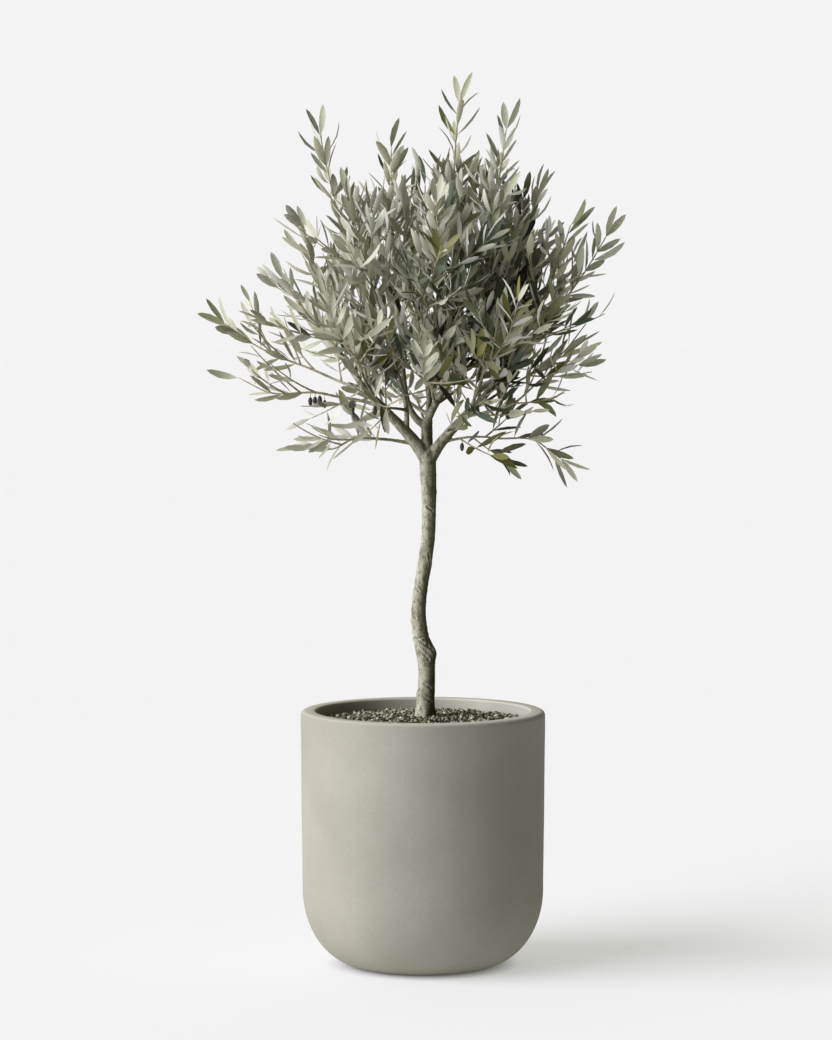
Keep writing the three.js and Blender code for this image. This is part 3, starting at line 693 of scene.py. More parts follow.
LIMB_LINE = 25
trunk_rows = rounded_path(TRUNK_STATIONS)
trunk_curve = Curve(trunk_rows[:, [1, 2, 0]])
solid_trunk = Curve(rounded_path(TRUNK_STATIONS[1:])[:, [1, 2, 0]])
limbs = {"trunk": {"curve": solid_trunk, "radii": (17, 15)}}
for name, carrier, share, radii, heading, end, rise in LIMBS:
    start = limbs[carrier]["curve"].at(share)
    limbs[name] = {"curve": sweep(start, heading, end, rise), "radii": radii}
limb_lines = [limb["curve"].line(LIMB_LINE) for limb in limbs.values()]
limb_points = np.concatenate(limb_lines)
limb_radii = np.concatenate([mix(*limb["radii"], np.linspace(0, 1, LIMB_LINE)) for limb in limbs.values()])
print("limb length in all, mm:", round(sum(limb["curve"].length for limb in limbs.values())))

# %% [markdown]
# ## Bark relief
#
# Young olive bark is smooth and grey-green, with shallow long dimples, a few ring scars from old leaf
# pairs, slanting creases with a raised lip, knots where shoots were rubbed off, and swollen collars at
# each fork. The limbs are closed tubes first. A voxel remesh fuses them into one skin with real
# crotches, a little smoothing melts the joins, and then every point of the skin moves along its normal
# by the relief, which fades above the fork.

# %% Tubes of trunk and limbs
COLLAR = {"extra": 0.22, "reach": 0.16}
TUBE = {"trunk_sides": 40, "trunk_segments": 150, "sides": 14, "segment": 5, "fewest": 10}


def limb_radius(radii):
    """A limb's radius: an even taper, swollen a little at its foot."""
    return lambda share: mix(*radii, share) * (1 + COLLAR["extra"] * np.exp(-share / COLLAR["reach"]))


def trunk_radius(share):
    return np.interp(share, trunk_curve.shares, trunk_rows[:, 3])


wood_heap = Heap()
wood_heap.add(*tube(trunk_curve, trunk_radius, TUBE["trunk_sides"], TUBE["trunk_segments"]))
for name, *_ in LIMBS:
    limb = limbs[name]
    segments = max(TUBE["fewest"], round(limb["curve"].length / TUBE["segment"]))
    wood_heap.add(*tube(limb["curve"], limb_radius(limb["radii"]), TUBE["sides"], segments))
print("tube points:", wood_heap.count)

# %% Fused skin
VOXEL = 1.5
MELT = {"factor": 0.5, "iterations": 4}
rough_wood = bpy.data.objects.new("rough_wood", wood_heap.mesh("rough_wood"))
bpy.context.scene.collection.objects.link(rough_wood)
remesh = rough_wood.modifiers.new("fuse", "REMESH")
remesh.mode = "VOXEL"
remesh.voxel_size = VOXEL * MM
melt = rough_wood.modifiers.new("melt", "SMOOTH")
melt.factor = MELT["factor"]
melt.iterations = MELT["iterations"]
skin = bpy.data.meshes.new_from_object(rough_wood.evaluated_get(bpy.context.evaluated_depsgraph_get()))
bpy.data.objects.remove(rough_wood)
print("fused skin points:", len(skin.vertices))

# %% Scars, knots and creases
RING_SCARS = [503, 548, 622, 668, 703, 741, 786, 829, 872, 903]
KNOTS = [
    # height, way round in degrees (0 is right, 180 is left, 270 is the front), swelling, spread
    (577, 345, 3.6, 11), (588, 250, 1.2, 9), (634, 178, 1.6, 5), (500, 195, 2.0, 6), (690, 350, 0.6, 6),
    (760, 200, 0.6, 6), (815, 300, 0.9, 7), (872, 15, 0.6, 6), (905, 225, 1.2, 8), (536, 280, 0.9, 7),
]
CREASES = np.array([
    # way round in degrees and height, from end to end
    (200, 600, 288, 564), (234, 606, 317, 582), (300, 592, 352, 560), (210, 505, 307, 487),
    (252, 520, 300, 512), (200, 655, 250, 640), (290, 760, 330, 735), (220, 700, 262, 690),
    (255, 845, 300, 838), (30, 610, 100, 596),
], float)
print("scars, knots and creases:", len(RING_SCARS), len(KNOTS), len(CREASES))

# %% Creases
CREASE = {"depth": 1.3, "half_width": 1.7, "lip": 0.7}
MEAN_RADIUS = 15.0


def turn_between(turn, other):
    """The shorter way round from one direction to another, in millimetres along the bark."""
    return np.radians((turn - other + 180) % 360 - 180) * MEAN_RADIUS


def crease_at(turn, height):
    """The depth of the nearest creases, each with a raised lip beside it."""
    around = turn_between(CREASES[:, [0, 2]], turn)
    starts = np.stack([around[:, 0], CREASES[:, 1] - height], 1)
    ways = np.stack([around[:, 1], CREASES[:, 3] - height], 1) - starts
    share = np.clip(-(starts * ways).sum(1) / (ways ** 2).sum(1), 0, 1)
    away = np.linalg.norm(starts + share[:, None] * ways, axis=1) / CREASE["half_width"]
    return CREASE["depth"] * (CREASE["lip"] * np.exp(-(away - 2) ** 2) - np.exp(-away ** 2)).sum()


print("creases ready")

# %% Relief at a place
RELIEF = {"dimple": 0.5, "across": 0.11, "along": 0.03, "fine": 0.22, "fine_scale": 0.35}
RING = {"height": 0.45, "half_width": 2.2, "wobble": 5, "scale": 0.01}
FLARE = {"lobes": 5, "height": 30, "depth": 0.13, "turned": 1}
TRUNK_FOOT, TRUNK_LENGTH, RELIEF_TOP = 450, 496, 935


def trunk_relief(place):
    """Ring scars, knots, creases and the lobes of the foot at a place on the trunk."""
    axis = trunk_curve.at((place[2] - TRUNK_FOOT) / TRUNK_LENGTH)
    turn = math.degrees(math.atan2(place[1] - axis[1], place[0] - axis[0])) % 360
    way = math.radians(turn)
    wobble = RING["wobble"] * noise.noise(Vector((math.cos(way), math.sin(way), place[2] * RING["scale"])))
    relief = crease_at(turn, place[2])
    for scar in RING_SCARS:
        relief += RING["height"] * math.exp(-(((place[2] + wobble - scar) / RING["half_width"]) ** 2))
    for level, knot_way, swelling, spread in KNOTS:
        around = turn_between(turn, knot_way)
        relief += swelling * math.exp(-((place[2] - level) ** 2 + around ** 2) / spread ** 2)
    flare = max(0.0, 1 - (place[2] - TRUNK_FOOT) / FLARE["height"])
    return relief + MEAN_RADIUS * FLARE["depth"] * flare * math.cos(FLARE["lobes"] * way + FLARE["turned"])


def relief_at(place):
    """How far the bark stands out at a place on the skin, in millimetres."""
    across, along = RELIEF["across"], RELIEF["along"]
    long_place = Vector((place[0] * across, place[1] * across, place[2] * along))
    relief = RELIEF["dimple"] * noise.noise(long_place)
    relief += RELIEF["fine"] * noise.noise(Vector(place) * RELIEF["fine_scale"])
    return relief + trunk_relief(place) if place[2] < RELIEF_TOP else relief


print("relief ready")

# %% Relief on the skin
THIN = {"from": 960, "over": 60, "share": 0.35}
skin_points = np.empty(len(skin.vertices) * 3)
skin.vertices.foreach_get("co", skin_points)
skin_points = skin_points.reshape(-1, 3) / MM
skin_normals = np.empty(len(skin.vertices) * 3)
skin.vertex_normals.foreach_get("vector", skin_normals)
skin_normals = skin_normals.reshape(-1, 3)
thin = np.clip((skin_points[:, 2] - THIN["from"]) / THIN["over"], 0, 1)
moves = np.array([relief_at(place) for place in skin_points])
skin_points += skin_normals * (moves * mix(1.0, THIN["share"], thin))[:, None]
skin.vertices.foreach_set("co", (skin_points * MM).ravel())
skin.update()
print("relief from", round(moves.min(), 2), "to", round(moves.max(), 2), "mm")

# %% [markdown]
# ## Bark finish
#
# The skin is grey-green with paler scuffs, and with darker patches and flecks. The side that faces away
# from the sun is painted a darker olive-brown, which is painted shade broken up by the noise of the scuffs
# and flecks. Noise stretched along the trunk lays the scuffs, patches and flecks out lengthways, and a
# finer one gives the pores. The way that the surface faces says where the painted shade lies.

# %% Bark colours
WHITE = srgb(255, 255, 255)
bark = Finish("olive_bark", Specular_IOR_Level=0.25)
stains = bark.noise(46.0, detail=4.0, rough=0.6, stretch=(1, 1, 0.38), warp=0.6)
patches = bark.noise(130.0, detail=3.0, stretch=(1, 1, 0.55), warp=0.3)
flecks = bark.noise(400.0, detail=3.0, rough=0.7, stretch=(1, 1, 0.45))
scuffed = bark.steps(
    stains, (0.32, srgb(140, 140, 116)), (0.47, srgb(160, 159, 139)), (0.60, srgb(176, 175, 159)))
patch_shade = bark.steps(patches, (0.36, srgb(176, 177, 156)), (0.50, srgb(250, 250, 247)))
fleck_shade = bark.steps(flecks, (0.34, srgb(104, 100, 74)), (0.46, WHITE))
flecked = bark.mix(0.8, bark.mix(0.85, scuffed, patch_shade, "MULTIPLY"), fleck_shade, "MULTIPLY")
print("bark colours ready")

# %% Bark finish
# Painted shade: the side that faces +x, away from the key light, is painted darker olive-brown, broken up by
# the scuff and fleck noise.
PAINTED_SHADE = {"facing": 0.42, "less": 0.56}
to_the_right = bark.node("ShaderNodeSeparateXYZ", inputs={0: bark.facing()})
painted_shade_share = PAINTED_SHADE["facing"] * to_the_right + stains + flecks - PAINTED_SHADE["less"]
painted_shade_colour = bark.steps(painted_shade_share, (0.30, WHITE), (0.62, srgb(150, 150, 126)), (0.86, srgb(104, 106, 74)))
pores = bark.noise(620.0, detail=2.0, stretch=(1, 1, 0.6))
bark.set("Base Color", bark.mix(1.0, flecked, painted_shade_colour, "MULTIPLY"))
bark.set("Roughness", 0.80 + 0.16 * pores)
bark.bump(pores * 0.3 + flecks * 0.4 + patches * 0.3, 0.0014, 0.7)
add_piece("trunk_and_boughs", skin, [bark], ["trunk"] + [row[0] for row in LIMBS])

# %% [markdown]
# ## How the crown grows
#
# Each mass of foliage is one leading shoot that starts at a limb's tip. Side shoots leave it and turn to
# whichever side has the most room, and finer twigs leave those by the same rule. A shoot is cut back
# where it would leave its own space, the crown's round body, or touch a limb. The draws that place the
# side shoots are the same as in the solid model, so the dressed crown fills the same sprays. Some
# masses are thinner than others, as on any young tree, so each has a fullness of its own. Most grow on
# the branch of the same name, and six on a bough.

# %% Table of the masses
MASSES = [
    # name, tip of the leading shoot, direction at the tip, fullness
    ("left_low", (-264, -40, 962), (-0.95, 0, 0.1), 1.0),
    ("left_long", (-378, -20, 1104), (-0.85, 0, 0.45), 0.45),
    ("left_high", (-402, 30, 1209), (-0.8, 0, 0.6), 0.5),
    ("left_crown", (-281, -50, 1301), (-0.55, 0, 0.83), 0.55),
    ("left_shoulder", (-239, 60, 1400), (-0.3, 0, 0.95), 0.8),
    ("left_tall", (-197, 10, 1569), (-0.2, 0, 0.98), 0.9),
    ("front_left_top", (-140, -120, 1448), (-0.2, -0.1, 0.97), 0.8),
    ("top_left", (-58, -20, 1546), (0, 0, 1), 0.65),
    ("top_back", (4, 110, 1482), (0, 0.1, 1), 0.65),
    ("top_tall", (71, 10, 1627), (0.1, 0, 1), 1.0),
    ("top_right", (158, -40, 1579), (0.15, 0, 0.98), 1.0),
    ("right_high", (226, 70, 1465), (0.3, 0, 0.95), 1.0),
    ("right_crown", (281, -60, 1404), (0.3, 0, 0.95), 0.55),
    ("right_long", (359, 20, 1380), (0.5, 0, 0.86), 0.8),
    ("right_mid", (330, 80, 1217), (0.6, 0, 0.8), 0.5),
    ("right_side", (326, -50, 1120), (0.95, 0, 0.3), 0.65),
    ("right_drop", (289, -20, 906), (0.8, 0, -0.6), 1.5),
    ("front_left", (-180, -292, 1270), (-0.2, -0.5, 0.8), 1.2),
    ("front_low", (0, -330, 1150), (0, -0.85, 0.5), 0.9),
    ("front_low_left", (-150, -226, 1090), (-0.4, -0.8, 0.3), 0.9),
    ("front_low_right", (132, -236, 1060), (0.3, -0.9, 0.2), 1.3),
    ("front_high", (24, -230, 1440), (0, -0.3, 0.95), 1.0),
    ("front_right", (176, -296, 1260), (0.2, -0.5, 0.8), 1.0),
    ("back_low", (-40, 280, 1090), (-0.1, 0.9, 0.3), 1.0),
    ("back_left", (-192, 292, 1290), (-0.2, 0.5, 0.8), 0.75),
    ("back", (-6, 340, 1260), (0, 0.7, 0.7), 1.0),
    ("back_right", (192, 296, 1280), (0.2, 0.5, 0.8), 1.0),
]
ON_BOUGHS = {
    "left_crown": "bough_left", "front_left_top": "bough_left_inner", "top_left": "bough_centre_left",
    "top_right": "bough_centre_right", "right_crown": "bough_right", "back": "bough_back",
}
print("masses in the table:", len(MASSES))

# %% [markdown]
# ## Round bodies of the crown
#
# Three egg-shaped bodies steer the growth. Side shoots keep to the crown, finer shoots to its dense
# middle, and no leaf grows in the bare core round the forks, where shade has shed the leaves.

# %% Round bodies
Body = namedtuple("Body", "centre across above below")
CROWN = Body((-18, 0, 1190), (384, 352), 350, 345)
BODY = Body((38, 0, 1240), (202, 215), 250, 240)
CORE = Body((-10, -70, 1030), (66, 180), 78, 78)


def depth_in(points, body):
    """Where points lie in a round body: 0 at its centre, and 1 on its surface."""
    off = np.asarray(points, float) - body.centre
    height = np.where(off[..., 2] > 0, body.above, body.below)
    return np.sqrt(((off[..., :2] / body.across) ** 2).sum(-1) + (off[..., 2] / height) ** 2)


print("round bodies ready")

# %% [markdown]
# ## Kinds of shoots
#
# Long side shoots carry the outline of a mass, and closer ones fill the leading shoot between them.
# Twigs grow on both. Shoots also break from the limbs themselves: close together on the shady right,
# and low and far apart on the limbs that hang out at the crown's foot. `within` says how far out of the
# crown's middle a kind may grow.

# %% Forms of shoots
Form = namedtuple("Form", "spacing along splay lengths lift turns within")
SIDE = Form(28, (0.03, 0.72), 0.85, (118, 70), 0.3, 10, 2.0)
BETWEEN = Form(34, (0.08, 0.80), 0.62, (90, 50), 0.5, 8, 1.12)
TWIG = Form(36, (0.20, 0.85), 0.65, (60, 40), 0.45, 7, 1.04)
LIMB_SHOOT = Form(34, (0.50, 0.97), 0.80, (84, 66), 0.4, 8, 1.12)
SHADY_SHOOT = LIMB_SHOOT._replace(spacing=19, lengths=(104, 80))
LOW_SHOOT = LIMB_SHOOT._replace(spacing=38, along=(0.25, 0.97), lengths=(96, 60), lift=0.15, within=1.7)
LOW_LIMBS = (
    "branch_left_low", "branch_left_long", "branch_front_low_left", "branch_front_low_right",
    "branch_right_drop",
)
LIMB_FULLNESS = {
    "bough_left": 2.2, "branch_left_high": 1.5, "branch_left_long": 0.7, "branch_front_low_left": 0.8,
}


def form_on(limb):
    """The form of the shoots on a limb itself: low, shady or neither."""
    if limb in LOW_LIMBS:
        return LOW_SHOOT
    return SHADY_SHOOT if "right" in limb else LIMB_SHOOT


def closer(form, fullness):
    """A form of shoot set closer along its carrier, or further apart, by a fullness."""
    return form._replace(spacing=form.spacing / fullness)


print("forms of shoots ready")


# %% Leading shoots
def seeded(seed):
    """A repeatable source of numbers from 0 to 1."""
    state = seed
    while True:
        state = (1664525 * state + 1013904223) % 2 ** 32
        yield state / 2 ** 32


SOLID_LEAF = 94
STEM_LINE = 9
STEM_END = 2.5
FIRST_SEED = 101
masses = []
for index, (name, tip, rise, fullness) in enumerate(MASSES):
    limb = ON_BOUGHS.get(name, "branch_" + name)
    heading = limbs[limb]["curve"].along(1.0)
    start = limbs[limb]["curve"].at(1.0) + heading * CLEARANCE
    end = np.array(tip) + unit(rise) * (STEM_END - SOLID_LEAF)
    stem = sweep(start, heading, end, rise)
    masses.append({
        "name": "foliage_" + name, "limb": limb, "stem": stem, "line": stem.line(STEM_LINE),
        "rise": unit(rise), "tip": np.array(tip, float), "random": seeded(FIRST_SEED + index),
        "fullness": fullness,
    })
mass_names = [mass["name"] for mass in masses]
print("leading shoots:", len(masses))

# %% Room to grow
SPACE_MARGIN, LIMB_MARGIN = 0.6, 1.0
stem_starts = np.concatenate([mass["line"][:-1] for mass in masses])
stem_ends = np.concatenate([mass["line"][1:] for mass in masses])
stem_owner = np.repeat(np.arange(len(masses)), STEM_LINE - 1)


def distance_to_lines(points, starts, ends):
    """The distance from each point to each straight piece."""
    ways = ends - starts
    share = np.einsum("psk,sk->ps", points[:, None] - starts[None], ways) / np.einsum("sk,sk->s", ways, ways)
    nearest = starts + np.clip(share, 0, 1)[..., None] * ways
    return np.linalg.norm(points[:, None] - nearest, axis=2)


def fits(points, half_width, owner):
    """Whether places of some width lie in a mass's own space and clear of every limb."""
    points = np.atleast_2d(points)
    limb = (np.linalg.norm(points[:, None] - limb_points[None], axis=2) - limb_radii).min(1)
    clear = limb > half_width + LIMB_MARGIN
    if owner is None:
        return clear
    reach = distance_to_lines(points, stem_starts, stem_ends)
    own = reach[:, stem_owner == owner].min(1)
    other = reach[:, stem_owner != owner].min(1)
    return clear & (other - own > 2 * (half_width + SPACE_MARGIN))


print("straight pieces of leading shoots:", len(stem_starts))

# %% One side shoot
PLACED_HALF, CUT_HALF = 1.4, 1.0
SHORTEST = 0.4


def side_shoot(stem, share, turn, length, form):
    """The curve of a shoot that leaves its stem on the side that `turn` gives."""
    start, along = stem.at(share), stem.along(share)
    heading = along * math.cos(form.splay) + sideways(along, turn) * math.sin(form.splay)
    rise = unit(heading + np.array([0, 0, form.lift]))
    return sweep(start, heading, start + unit(heading + rise) * length, rise)


def roomiest(stem, share, length, form, first, owner, taken, reach):
    """The turn that gives a shoot the most room, and its line there. Both are None if it fits nowhere."""
    starts = np.concatenate([line[:-1] for line in taken])
    ends = np.concatenate([line[1:] for line in taken])
    best_room, best = 0, (None, None)
    for step in range(form.turns):
        turn = (first + step) / form.turns * 2 * math.pi
        shoot = side_shoot(stem, share, turn, length, form)
        line = shoot.line(5)
        tip = line[-1] + shoot.along(1.0) * reach
        room = distance_to_lines(line[-1:], starts, ends).min()
        allowed = depth_in(tip, CROWN) < 1 and depth_in(tip, BODY) < form.within
        if room > best_room and allowed and fits(line[1:], PLACED_HALF, owner).all():
            best_room, best = room, (turn, line)
    return best


def cut_back(curve, owner):
    """A shoot up to where it would leave its space or the crown, or None if little would be left."""
    probes = np.linspace(0.3, 1, 8)
    inside = fits(curve.at(probes), CUT_HALF, owner) & (depth_in(curve.at(probes), CROWN) < 1)
    if inside.all():
        return curve
    good = probes[: int(np.argmin(inside))]
    return curve.cut(good[-1]) if len(good) and good[-1] >= SHORTEST else None


print("side shoot ready")


# %% The growing rule
def grow_side_shoots(stem, owner, form, taken, random, extra, reach):
    """Side shoots along a stem, each turned to the side with the most room, and cut back to fit."""
    first, last = form.along
    count = round(stem.length * (last - first) / form.spacing)
    grown = []
    for i in range(count):
        share = mix(first, last, (i + 0.5) / count)
        length = mix(*form.lengths, share) * mix(0.85, 1.15, next(random))
        turn, line = roomiest(stem, share, length, form, next(random), owner, taken, reach)
        if line is None:
            continue
        taken.append(line)
        shoot = cut_back(side_shoot(stem, share, turn, length + extra, form), owner)
        if shoot is not None:
            grown.append(shoot)
    return grown


LEAF = {
    # the last three go by rank or from the foot of a shoot to its tip
    "length": 60, "width": 12.1, "pitch": (19, 21, 20), "first": (0.22, 0.18, 0.16), "splay": (0.92, 0.60),
}
HALF_LEAF = 0.5 * LEAF["length"]
SIDE_RADII, TWIG_RADII = (2.0, 0.9), (1.2, 0.6)
Shoot = namedtuple("Shoot", "curve radii rank owner space spray fullness")
shoots = []


def add_shoots(carrier, owner, space, form, taken, fullness, extra=0, reach=HALF_LEAF):
    """Side shoots on a carrier, and finer twigs on each of them."""
    random = masses[owner]["random"]
    for curve in grow_side_shoots(carrier, space, form, taken, random, extra, reach):
        spray = len(shoots)
        shoots.append(Shoot(curve, SIDE_RADII, 1, owner, space, spray, fullness))
        for twig in grow_side_shoots(curve, space, TWIG, taken, random, 0, HALF_LEAF):
            shoots.append(Shoot(twig, TWIG_RADII, 2, owner, space, spray, fullness))


print("growing rule ready")

# %% Grow the shoots
LEAD_THINNING = 0.5
LEAD_END = 0.8
for owner, mass in enumerate(masses):
    limb, fullness = mass["limb"], mass["fullness"]
    lead = Curve(np.vstack([mass["stem"].points, mass["tip"] - mass["rise"] * LEAD_END * LEAF["length"]]))
    lead_radii = (limbs[limb]["radii"][1], 1.0)
    shoots.append(Shoot(lead, lead_radii, 0, owner, owner, len(shoots), mix(1, fullness, LEAD_THINNING)))
    taken = [other["line"] for other in masses] + limb_lines
    add_shoots(
        mass["stem"], owner, owner, SIDE, taken, fullness, SOLID_LEAF - LEAF["length"], 0.7 * SOLID_LEAF)
    add_shoots(lead, owner, owner, closer(BETWEEN, fullness), taken, fullness)
    limb_fullness = LIMB_FULLNESS.get(limb, fullness)
    add_shoots(limbs[limb]["curve"], owner, None, closer(form_on(limb), limb_fullness), taken, limb_fullness)
print("shoots, side shoots and twigs:", [sum(shoot.rank == rank for shoot in shoots) for rank in range(3)])

# %% [markdown]
# ## Twigs
#
# Young olive wood is thin, pale and slightly ribbed. Each shoot is a tapering tube of five to eight sides
# that starts inside its carrier, so that no gap shows at a fork.

# %% Twigs
TUBES_BY_RANK = ((8, 16), (6, 7), (5, 4))
ROOTED = 4
twig_heap = Heap()
for shoot in shoots:
    curve = shoot.curve
    foot = curve.points[0] - curve.along(0.0) * ROOTED if shoot.rank == 0 else curve.points[0]
    path = Curve(np.concatenate([[foot], curve.points[1:]]))
    twig_heap.add(*tube(path, lambda share: mix(*shoot.radii, share ** 0.8), *TUBES_BY_RANK[shoot.rank]))
print("twig points:", twig_heap.count)

# %% Twig finish
twig_bark = Finish("young_twig_bark", Roughness=0.75, Specular_IOR_Level=0.3)
twig_patches = twig_bark.noise(130.0, detail=3.0)
twig_shade = twig_bark.steps(twig_patches, (0.36, srgb(128, 122, 92)), (0.64, srgb(172, 166, 138)))
twig_bark.set("Base Color", twig_shade)
twig_bark.bump(twig_bark.noise(800.0), 0.0004, 0.5)
print("twig finish ready")

# %% [markdown]
# ## Leaves
#
# An olive leaf is a stiff lance, about 50 mm long and 10 mm wide: grey-green on top, and silvery below
# where fine scales cover it. Pairs face each other across the shoot, and each pair is a quarter turn on
# from the last. Every blade is a closed sliver with a folded midrib and a slight bow, so its top and its
# underside can each have a plain finish of their own.

# %% Leaf blade
BLADE_SHARES = np.array([0.09, 0.31, 0.60, 0.86])
BLADE_HALVES = np.array([0.23, 0.86, 1.0, 0.63])
BLADE_FOLD = 0.34
BLADE_THICK = 0.45


def blade_template():
    """The blade's points as [share along, share across, share of fold, thickness], and its triangles."""
    points = [(0, 0, 0, 0), (1, 0, 0, 0)]
    for share, half in zip(BLADE_SHARES, BLADE_HALVES):
        points += [(share, half, half, 0), (share, -half, half, 0), (share, 0, 0, 1), (share, 0, 0, -1)]
    top, under = [], []
    for faces, middle, order in ((top, 2, 1), (under, 3, -1)):
        for station in range(len(BLADE_SHARES) - 1):
            here, there = 2 + station * 4, 6 + station * 4
            left, right, rib = here, here + 1, here + middle
            left_on, right_on, rib_on = there, there + 1, there + middle
            quads = [(rib, rib_on, left_on, left), (right, right_on, rib_on, rib)]
            for a, b, c, d in quads:
                faces += [(a, b, c)[::order], (a, c, d)[::order]]
        first, last = 2, 2 + (len(BLADE_SHARES) - 1) * 4
        faces += [(0, first + middle, first)[::order], (0, first + 1, first + middle)[::order]]
        faces += [(1, last, last + middle)[::order], (1, last + middle, last + 1)[::order]]
    return np.array(points, float), np.array(top + under), len(top)


blade_points, blade_corners, top_count = blade_template()
print("triangles in a leaf:", len(blade_corners))


# %% Leaves of a shoot
Leaf = namedtuple("Leaf", "root heading face size")
LEAF_LIFT = 0.65
LEAF_SIZES = {"foot": 1.04, "lead": 1.08, "other": 0.88, "lead_end": 1.15}
LAST_PAIR = 0.97
FRONT = np.array([0, -1, 0.2])


def leaves_of(shoot, random):
    """The leaves of a shoot: pairs along it, and a fork of two at its tip."""
    curve, leading = shoot.curve, shoot.rank == 0
    first = LEAF["first"][shoot.rank]
    pairs = max(1, round(curve.length * (1 - first) / LEAF["pitch"][shoot.rank]))
    turn = random.uniform(0, math.pi)
    last_size = LEAF_SIZES["lead" if leading else "other"]
    leaves = []
    for pair in range(pairs):
        share = mix(first, LAST_PAIR, (pair + random.uniform(0.2, 0.8)) / pairs)
        along = curve.along(share)
        lift = LEAF_LIFT * (1 - abs(along[2])) * random.uniform(0.1, 1.3)
        splay = mix(*LEAF["splay"], share) + random.normal(0, 0.15)
        for half in (0, math.pi):
            out = sideways(along, turn + pair * math.pi / 2 + half + random.normal(0, 0.22))
            heading = unit(along * math.cos(splay) + out * math.sin(splay) + np.array([0, 0, lift]))
            size = mix(LEAF_SIZES["foot"], last_size, share ** 2) * random.uniform(0.82, 1.14)
            leaves.append(Leaf(curve.at(share), heading, along, size))
    along = curve.along(1.0)
    for lean in (-0.3, 0.3):
        heading = unit(along + sideways(along, turn) * lean)
        size = random.uniform(0.72, 0.95) * (LEAF_SIZES["lead_end"] if leading else 1)
        face = FRONT if leading else sideways(along, turn + 1.2)
        leaves.append(Leaf(curve.at(1.0), heading, face, size))
    return leaves


print("leaf rule ready")

# %% [markdown]
# ## Leaf colours
#
# The leaf colours carry painted light and shade. Where the key light falls, leaves are sage and silver,
# with dusty pale undersides. In the shade they are grey-green and olive, and deep inside the crown they
# are painted nearly black. Leading shoots stand clear of the crown, so theirs have a table of shares of
# their own. A spray takes one upper and one under colour by the painted sun and the depth at its tip,
# and half of its leaves stray to another upper colour.

# %% Leaf colours
# The inner and deep upper colours and the inner and dull under colours are painted shade; sage and silver go
# where the painted sun falls.
TOPS = {
    "inner": (30, 34, 13), "deep": (50, 57, 30), "teal": (72, 86, 66), "grey_green": (117, 121, 84),
    "olive": (104, 103, 50), "sage": (164, 167, 141), "silver": (184, 185, 161), "young": (160, 162, 132),
}
UNDERS = {"silver": (172, 174, 154), "pale": (173, 175, 158), "dull": (157, 157, 128), "inner": (80, 81, 46)}
SHARES = {
    # the eight upper colours, then the four under colours
    "inner": [0.30, 0.23, 0.13, 0.14, 0.17, 0.03, 0.0, 0.0, 0.04, 0.0, 0.42, 0.54],
    "shade": [0.08, 0.20, 0.18, 0.25, 0.19, 0.06, 0.02, 0.02, 0.20, 0.08, 0.44, 0.28],
    "sun": [0.0, 0.0, 0.01, 0.03, 0.01, 0.39, 0.41, 0.15, 0.47, 0.22, 0.31, 0.0],
    "leading_shade": [0.16, 0.28, 0.14, 0.14, 0.20, 0.08, 0.0, 0.0, 0.20, 0.08, 0.44, 0.28],
    "leading_sun": [0.0, 0.0, 0.03, 0.17, 0.0, 0.54, 0.15, 0.11, 0.25, 0.0, 0.75, 0.0],
}
SHARES = {name: np.array(shares) for name, shares in SHARES.items()}
print("leaf colours:", len(TOPS), len(UNDERS))

# %% [markdown]
# ## Leaf finish
#
# The blade's top is a little waxy. Fine scales give the underside and the palest tops a soft sheen. The
# finishes are plain, and the mix of them makes the crown's tone.

# %% Leaf finishes
SCALY_TOPS = ("sage", "silver", "young")


def leaf_finish(name, shade, rough, sheen):
    """The plain finish of one side of a blade."""
    return Finish("leaf_" + name, Base_Color=srgb(*shade), Roughness=rough, Specular_IOR_Level=0.35,
                  Sheen_Weight=sheen, Sheen_Roughness=0.5)


leaf_finishes = [leaf_finish("top_" + name, shade, 0.5, 0.25 if name in SCALY_TOPS else 0.0)
                 for name, shade in TOPS.items()]
leaf_finishes += [leaf_finish("under_" + name, shade, 0.72, 0.4) for name, shade in UNDERS.items()]
print("leaf finishes:", len(leaf_finishes))

# %% Sun and shade
# Painted sun and shade for the leaf colours, laid out by place: paler at the top and on the left, where the
# key light falls, and darker on the right and deep in the crown.
SUN = {
    "midway": 0.46, "width": 400, "level": 1230, "height": 280, "lowest": -0.15, "edge": 0.85, "fringe": 2.6,
}
LEAD_LIT = {"gain": 1.6, "base": 0.35}
PAINTED_INNER_SHADE = {"depth": 0.4, "shade": 4}


def painted_sun_at(place):
    """Painted sun for leaf colours at a place: most at the top, on the left and right fringe, below 0 in
    shade.
    """
    fringe = max(0, (place[0] - BODY.centre[0]) / BODY.across[0] - SUN["edge"])
    height = max(SUN["lowest"], (place[2] - SUN["level"]) / SUN["height"])
    return SUN["midway"] - place[0] / SUN["width"] + height + SUN["fringe"] * fringe


def shares_at(place, leading):
    """The shares of the upper and of the under colours at a place, by its painted sun and shade."""
    sun = painted_sun_at(place)
    if leading:
        lit = np.clip(LEAD_LIT["gain"] * sun + LEAD_LIT["base"], 0, 1)
        shares = mix(SHARES["leading_shade"], SHARES["leading_sun"], lit)
    else:
        depth = 1.0 - depth_in(place, BODY)
        inner = np.clip(max(depth / PAINTED_INNER_SHADE["depth"], -PAINTED_INNER_SHADE["shade"] * sun), 0, 1)
        shares = mix(mix(SHARES["shade"], SHARES["inner"], inner), SHARES["sun"], np.clip(sun, 0, 1))
    return shares[:len(TOPS)], shares[len(TOPS):]


print("sun in the crown's middle:", round(painted_sun_at(CROWN.centre), 2))

